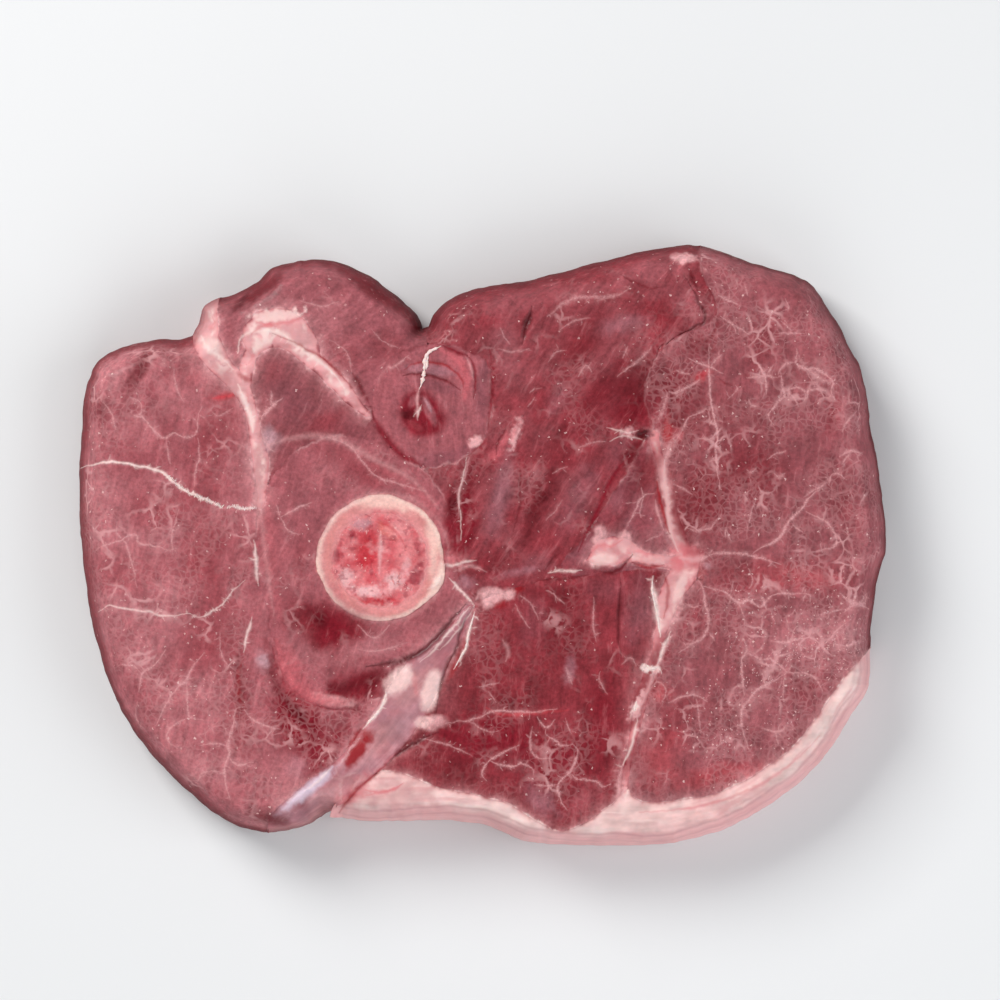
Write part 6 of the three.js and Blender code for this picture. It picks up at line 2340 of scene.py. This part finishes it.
    strokes = (
        streak(Tint.FAT_ROSE, 0.9, 0.4, *halo),
        white_line(0.5, 0.75, (678, 552), (673, 540), (669, 518), (666, 492), (664, 474), (665, 460)),
        streak(Tint.FAT_PINK, 0.9, 0.7, (686, 566), (676, 545), (670, 520), (666, 492), (663, 470),
        (668, 455),
               (678, 436)),
        streak(Tint.BLOOD, 0.35, 0.85, (657, 482), (659, 496), (663, 510), (668, 529), (671, 534)),
        streak(Tint.FAT_PINK, 0.3, 0.6, (655, 500), (658, 514), (664, 530)),
        ridge(Tint.FAT_PINK, 0.75, 0.85, 0.15, (630, 551), (640, 557), (654, 560), (668, 557), (680, 554)),
        ridge(Tint.NUB, 0.7, 0.7, 0.15, (680, 558), (690, 560), (698, 559), (706, 556)),
        shaded_crease(Tint.DEEP, 0.5, 0.9, 0.3, (600, 572), (610, 573), (618, 570), (626, 563), (632, 555)),
        shaded_crease(Tint.BLOOD, 0.4, 0.7, 0.15, (632, 562), (642, 566), (654, 567), (664, 565)),
        streak(Tint.FAT_RED, 0.4, 0.7, (592, 552), (600, 545), (612, 546), (622, 540)),
        shaded_crease(Tint.DEEP, 1.0, 0.75, 0.2, (642, 440), (632, 452), (624, 464)),
        shaded_crease(Tint.HOLLOW, 0.75, 0.95, 0.3, (630, 454), (612, 478), (600, 504), (590, 526), (582, 544),
        (578, 552)),
        white_line(0.2, 0.5, (606, 428), (618, 430), (628, 433), (638, 430)),
        white_line(0.16, 0.45, (610, 441), (622, 436), (634, 438), (646, 440)),
        streak(Tint.BLOOD, 0.5, 0.7, (663, 428), (670, 438), (672, 450)),
        white_line(0.5, 0.8, (653, 577), (653, 588), (656, 606), (659, 624), (661, 637)),
        streak(Tint.BLOOD, 0.4, 0.6, (664, 574), (668, 588), (667, 604), (664, 618)),
        streak(Tint.FAT_PINK, 0.5, 0.8, (672, 636), (664, 650), (657, 668), (650, 684), (642, 704),
        (637, 720)),
        white_line(0.3, 0.7, (670, 632), (663, 650), (657, 666)),
        white_line(0.35, 0.75, (645, 664), (650, 669), (658, 667), (662, 673)),
        white_line(0.26, 0.65, (638, 718), (634, 735), (629, 752), (622, 768)),
        vein(0.5, 0.6, (622, 768), (619, 782), (618, 800)),
        # A pale line of connective tissue with a painted glint along it, and painted shade in the groove
        # below it.
        white_line(0.3, 0.65, (548, 573), (560, 571), (572, 571), (582, 570)),
        shaded_crease(Tint.DEEP, 0.4, 0.75, 0.2, (540, 580), (556, 579), (572, 578), (590, 575)),
        shaded_crease(Tint.MAROON, 0.65, 0.85, 0.5, (466, 604), (456, 615), (446, 627), (436, 639), (424, 650),
        (410, 658),
               (396, 662), (382, 664), (366, 667)),
        white_line(0.24, 0.6, (471, 604), (458, 622), (446, 636), (432, 652), (420, 662)),
        white_line(0.2, 0.5, (474, 606), (464, 622), (452, 638), (440, 650)),
        white_line(0.28, 0.8, (475, 612), (471, 624), (468, 636), (466, 648), (460, 658), (454, 669)),
        shaded_crease(Tint.MAROON, 0.35, 0.7, 0.2, (472, 606), (462, 628), (456, 648), (446, 668), (440, 690),
        (437, 712)),
        white_line(0.4, 0.9, (386, 690), (384, 702), (378, 712), (371, 720), (363, 729)),
        shaded_crease(Tint.MAROON, 0.35, 0.7, 0.25, (438, 733), (424, 738), (410, 746), (398, 754), (390, 762)),
        streak(Tint.BLOOD, 0.5, 0.75, (386, 765), (372, 777), (358, 788), (348, 800), (338, 814)),
        streak(Tint.FAT_RED, 0.4, 0.7, (366, 790), (380, 792), (392, 790), (402, 784)),
        ridge(Tint.ICE, 0.55, 0.8, 0.12, (333, 766), (325, 777), (314, 786), (300, 796), (282, 810)),
        streak(Tint.FAT_WHITE, 0.25, 0.5, (330, 769), (320, 780), (305, 791)),
        streak(Tint.BLOOD, 0.4, 0.8, (361, 728), (354, 738), (347, 748)),
        shaded_crease(Tint.HOLLOW, 0.5, 0.8, 0.3, (272, 648), (276, 664), (282, 680), (290, 694), (304, 703),
        (322, 708),
               (342, 710)),
        ridge(Tint.LIVELY, 1.5, 0.75, 0.3, (276, 640), (282, 660), (290, 680), (304, 694), (322, 700),
        (346, 703)),
        shaded_crease(Tint.HOLLOW, 0.5, 0.9, 0.35, (489, 350), (492, 366), (492, 390), (490, 412), (488, 430)),
        shaded_crease(Tint.HOLLOW, 0.8, 0.9, 0.4, (372, 412), (378, 426), (388, 440), (398, 452), (412, 461),
        (426, 467)),
        shaded_crease(Tint.DEEP, 0.6, 0.8, 0.3, (352, 372), (362, 390), (370, 406)),
        white_line(0.16, 0.55, (468, 452), (464, 472), (460, 490), (459, 505), (461, 520), (461, 540)),
        white_line(0.3, 0.7, (449, 578), (458, 588), (468, 598), (474, 606)),
        white_line(0.3, 0.6, (441, 563), (452, 566), (464, 562), (476, 560)),
        streak(Tint.FAT_PINK, 0.4, 0.6, (454, 572), (470, 566), (486, 572)),
        white_line(0.5, 0.8, (238, 352), (240, 340), (250, 332), (266, 330), (282, 334), (298, 346),
        (314, 358),
                   (330, 370), (344, 388)),
        streak(Tint.BLOOD, 0.35, 0.6, (272, 334), (290, 340), (308, 350), (326, 360), (344, 378), (356, 394)),
        streak(Tint.FAT_RED, 0.5, 0.7, (256, 322), (270, 324), (290, 322), (304, 316)),
        streak(Tint.FAT_RED, 0.4, 0.6, (252, 334), (262, 326), (276, 326)),
        white_line(0.6, 0.8, (238, 384), (245, 400), (250, 416), (253, 432)),
        white_line(0.4, 0.6, (200, 336), (208, 348), (222, 358), (234, 370)),
        white_line(0.35, 0.7, (254, 540), (256, 556), (256, 572), (259, 586)),
        streak(Tint.FAT_ROSE, 0.7, 0.5, (258, 470), (259, 490), (258, 512), (256, 536)),
        streak(Tint.BLOOD, 0.45, 0.5, (243, 660), (238, 676), (240, 698), (244, 706)),
        white_line(0.3, 0.7, (252, 618), (247, 634), (244, 652)),
        ridge(Tint.FAT_ROSE, 0.7, 0.5, 0.15, (258, 455), (272, 444), (292, 438), (318, 436), (344, 442),
        (372, 458),
              (400, 472), (424, 490), (438, 508)),
        ridge(Tint.FAT_ROSE, 0.6, 0.4, 0.1, (259, 470), (261, 500), (264, 540), (269, 580), (274, 616)),
        streak(Tint.LIVELY, 1.3, 0.25, (266, 480), (270, 540), (276, 590), (284, 630)),
        streak(Tint.LIVELY, 1.2, 0.3, (372, 464), (400, 480), (424, 500), (440, 530)),
    )
    lumps = (
        Lump(607, 558, 16, 9, 0.5, 10), Lump(600, 534, 6, 10, 0.25), Lump(626, 538, 6, 9, 0.25),
        Lump(402, 679, 18, 12, 0.45, 45), Lump(430, 690, 23, 9, 0.55, 72), Lump(430, 723, 16, 8, 0.45),
        Lump(366, 688, 26, 11, -0.7, 12), Lump(328, 624, 26, 15, -0.6, -40),
        Lump(293, 722, 32, 12, -1.0, -66), Lump(463, 520, 40, 7, -0.4, 84), Lump(644, 434, 7, 5, -0.6),
        Lump(490, 597, 10, 8, 0.2), Lump(628, 432, 7, 5, 0.3), Lump(310, 660, 18, 40, 0.3, 20),
        Lump(684, 258, 12, 6, 0.3), Lump(635, 708, 5, 14, 0.25, -20), Lump(678, 596, 8, 26, 0.25, -16),
    )
    return Across(star + bone_side + wrap + band + arch + tone, strokes, lumps)


@dataclass
class Slice:
    """The whole slice: its pieces, and what lies on its face."""

    pieces: list[Piece]

    def around(self, piece: Piece, plans: dict[str, Plan]) -> Neighbours:
        """What lies round one piece."""
        order = [p.node for p in self.pieces]
        loops, tints, pale, ragged, side = [], [], [], [], []
        for other in self.pieces:
            if other is piece:
                continue
            places = np.vstack(plans[other.node].loops)
            loops.append(places)
            tints.append(np.tile(other.edge_tint, (len(places), 1)))
            pale.append(np.full(len(places), other.pale))
            ragged.append(np.full(len(places), other.ragged))
            side.append(np.full(len(places), 1.0 if order.index(piece.node) > order.index(
                other.node) else -1.0))
        return Neighbours(tree_of(np.vstack(loops)), np.vstack(tints), np.concatenate(pale),
                          np.concatenate(ragged), np.concatenate(side))

    def build(self) -> None:
        """Makes every piece, then the threads and strewn bits."""
        plans = make_plans()
        skins = {}
        shared = make_across()
        for piece in self.pieces:
            piece.across = shared
            skins[piece.node] = piece.build(plans[piece.node], self.around(piece, plans))
        face = Face(np.vstack([skin.points[skin.upper] for skin in skins.values()]))
        for threads in make_threads():
            threads.build(face)
        for node, strewn in make_strewn():
            strewn.build(skins[node])


def make_threads() -> tuple[Threads, ...]:
    """The white threads that stand out from the face."""
    return (
        Threads("sinew_strand", (
            ((441, 346), (435, 349), (429, 352), (425, 359), (424, 372), (422, 382), (419, 390)),
            ((428, 354), (427, 362), (426, 370))), radius=0.36, wobble=0.25),
        Threads("vein_hairs", (
            ((168, 476), (176, 484), (184, 490), (191, 494), (198, 497), (206, 500), (213, 503), (222, 507)),
            ((228, 507), (236, 507), (244, 509), (256, 508))), radius=0.09, wobble=0.2, comb=3.6, seed=8),
        Threads("star_strand", (
            ((653, 577), (652, 588), (654, 600), (657, 614), (659, 628), (661, 637)),
            ((646, 664), (651, 669), (657, 667)), ((637, 700), (634, 712))), radius=0.2, above=-0.05,
            wobble=0.5, seed=9),
        Threads("fascia_strands", (
            ((386, 690), (384, 702), (378, 712), (371, 720), (363, 729)),
            ((475, 612), (471, 624), (468, 636), (466, 648), (460, 658), (454, 669))), radius=0.2,
            above=-0.04, wobble=0.5, seed=10))


def make_strewn() -> tuple[tuple[str, Strewn], ...]:
    """The flecks of fat in the back thigh and the bony struts in the marrow, each with its node."""
    flecks = Strewn("fat_flecks", (
        marbled(800, 645, 62, 42, 10, 0, 1.0), marbled(722, 727, 24, 24, 0, 0, 0.8),
        marbled(850, 640, 26, 20, 76, 0, 0.7), marbled(735, 735, 60, 20, 10, 0, 0.35)),
        length=0.6, slender=0.42, crowd=1.5, tint=Tint.NUB, finish=THREAD_FINISH)
    struts = Strewn("bony_struts", (
        marbled(352, 574, 16, 16, 0, 0, 1.0), marbled(390, 584, 28, 12, 0, 0, 1.0),
        marbled(409, 565, 12, 14, 0, 0, 0.8), marbled(362, 524, 18, 10, 0, 0, 0.8)),
        length=1.3, slender=0.3, crowd=0.8, tint=Tint.MARROW_PALE, finish=MARROW_FINISH, seed=7)
    return (("muscle_back_thigh", flecks), ("marrow", struts))


def main() -> None:
    """Builds the studio and the slice."""
    logging.basicConfig(level=logging.INFO, format="%(name)s: %(message)s")
    Studio().build()
    made = Slice([maker() for maker in (
        outer_thigh, upper_lobe, front, bone_wrap, rolled, inner_thigh, middle_wedge, under_thigh, back_thigh,
        fat_arch, fat_star, fat_cover, fascia_band, femur_ring, marrow)])
    made.build()
    log.info("slice of %d pieces made", len(made.pieces))


if __name__ == "__main__":
    main()
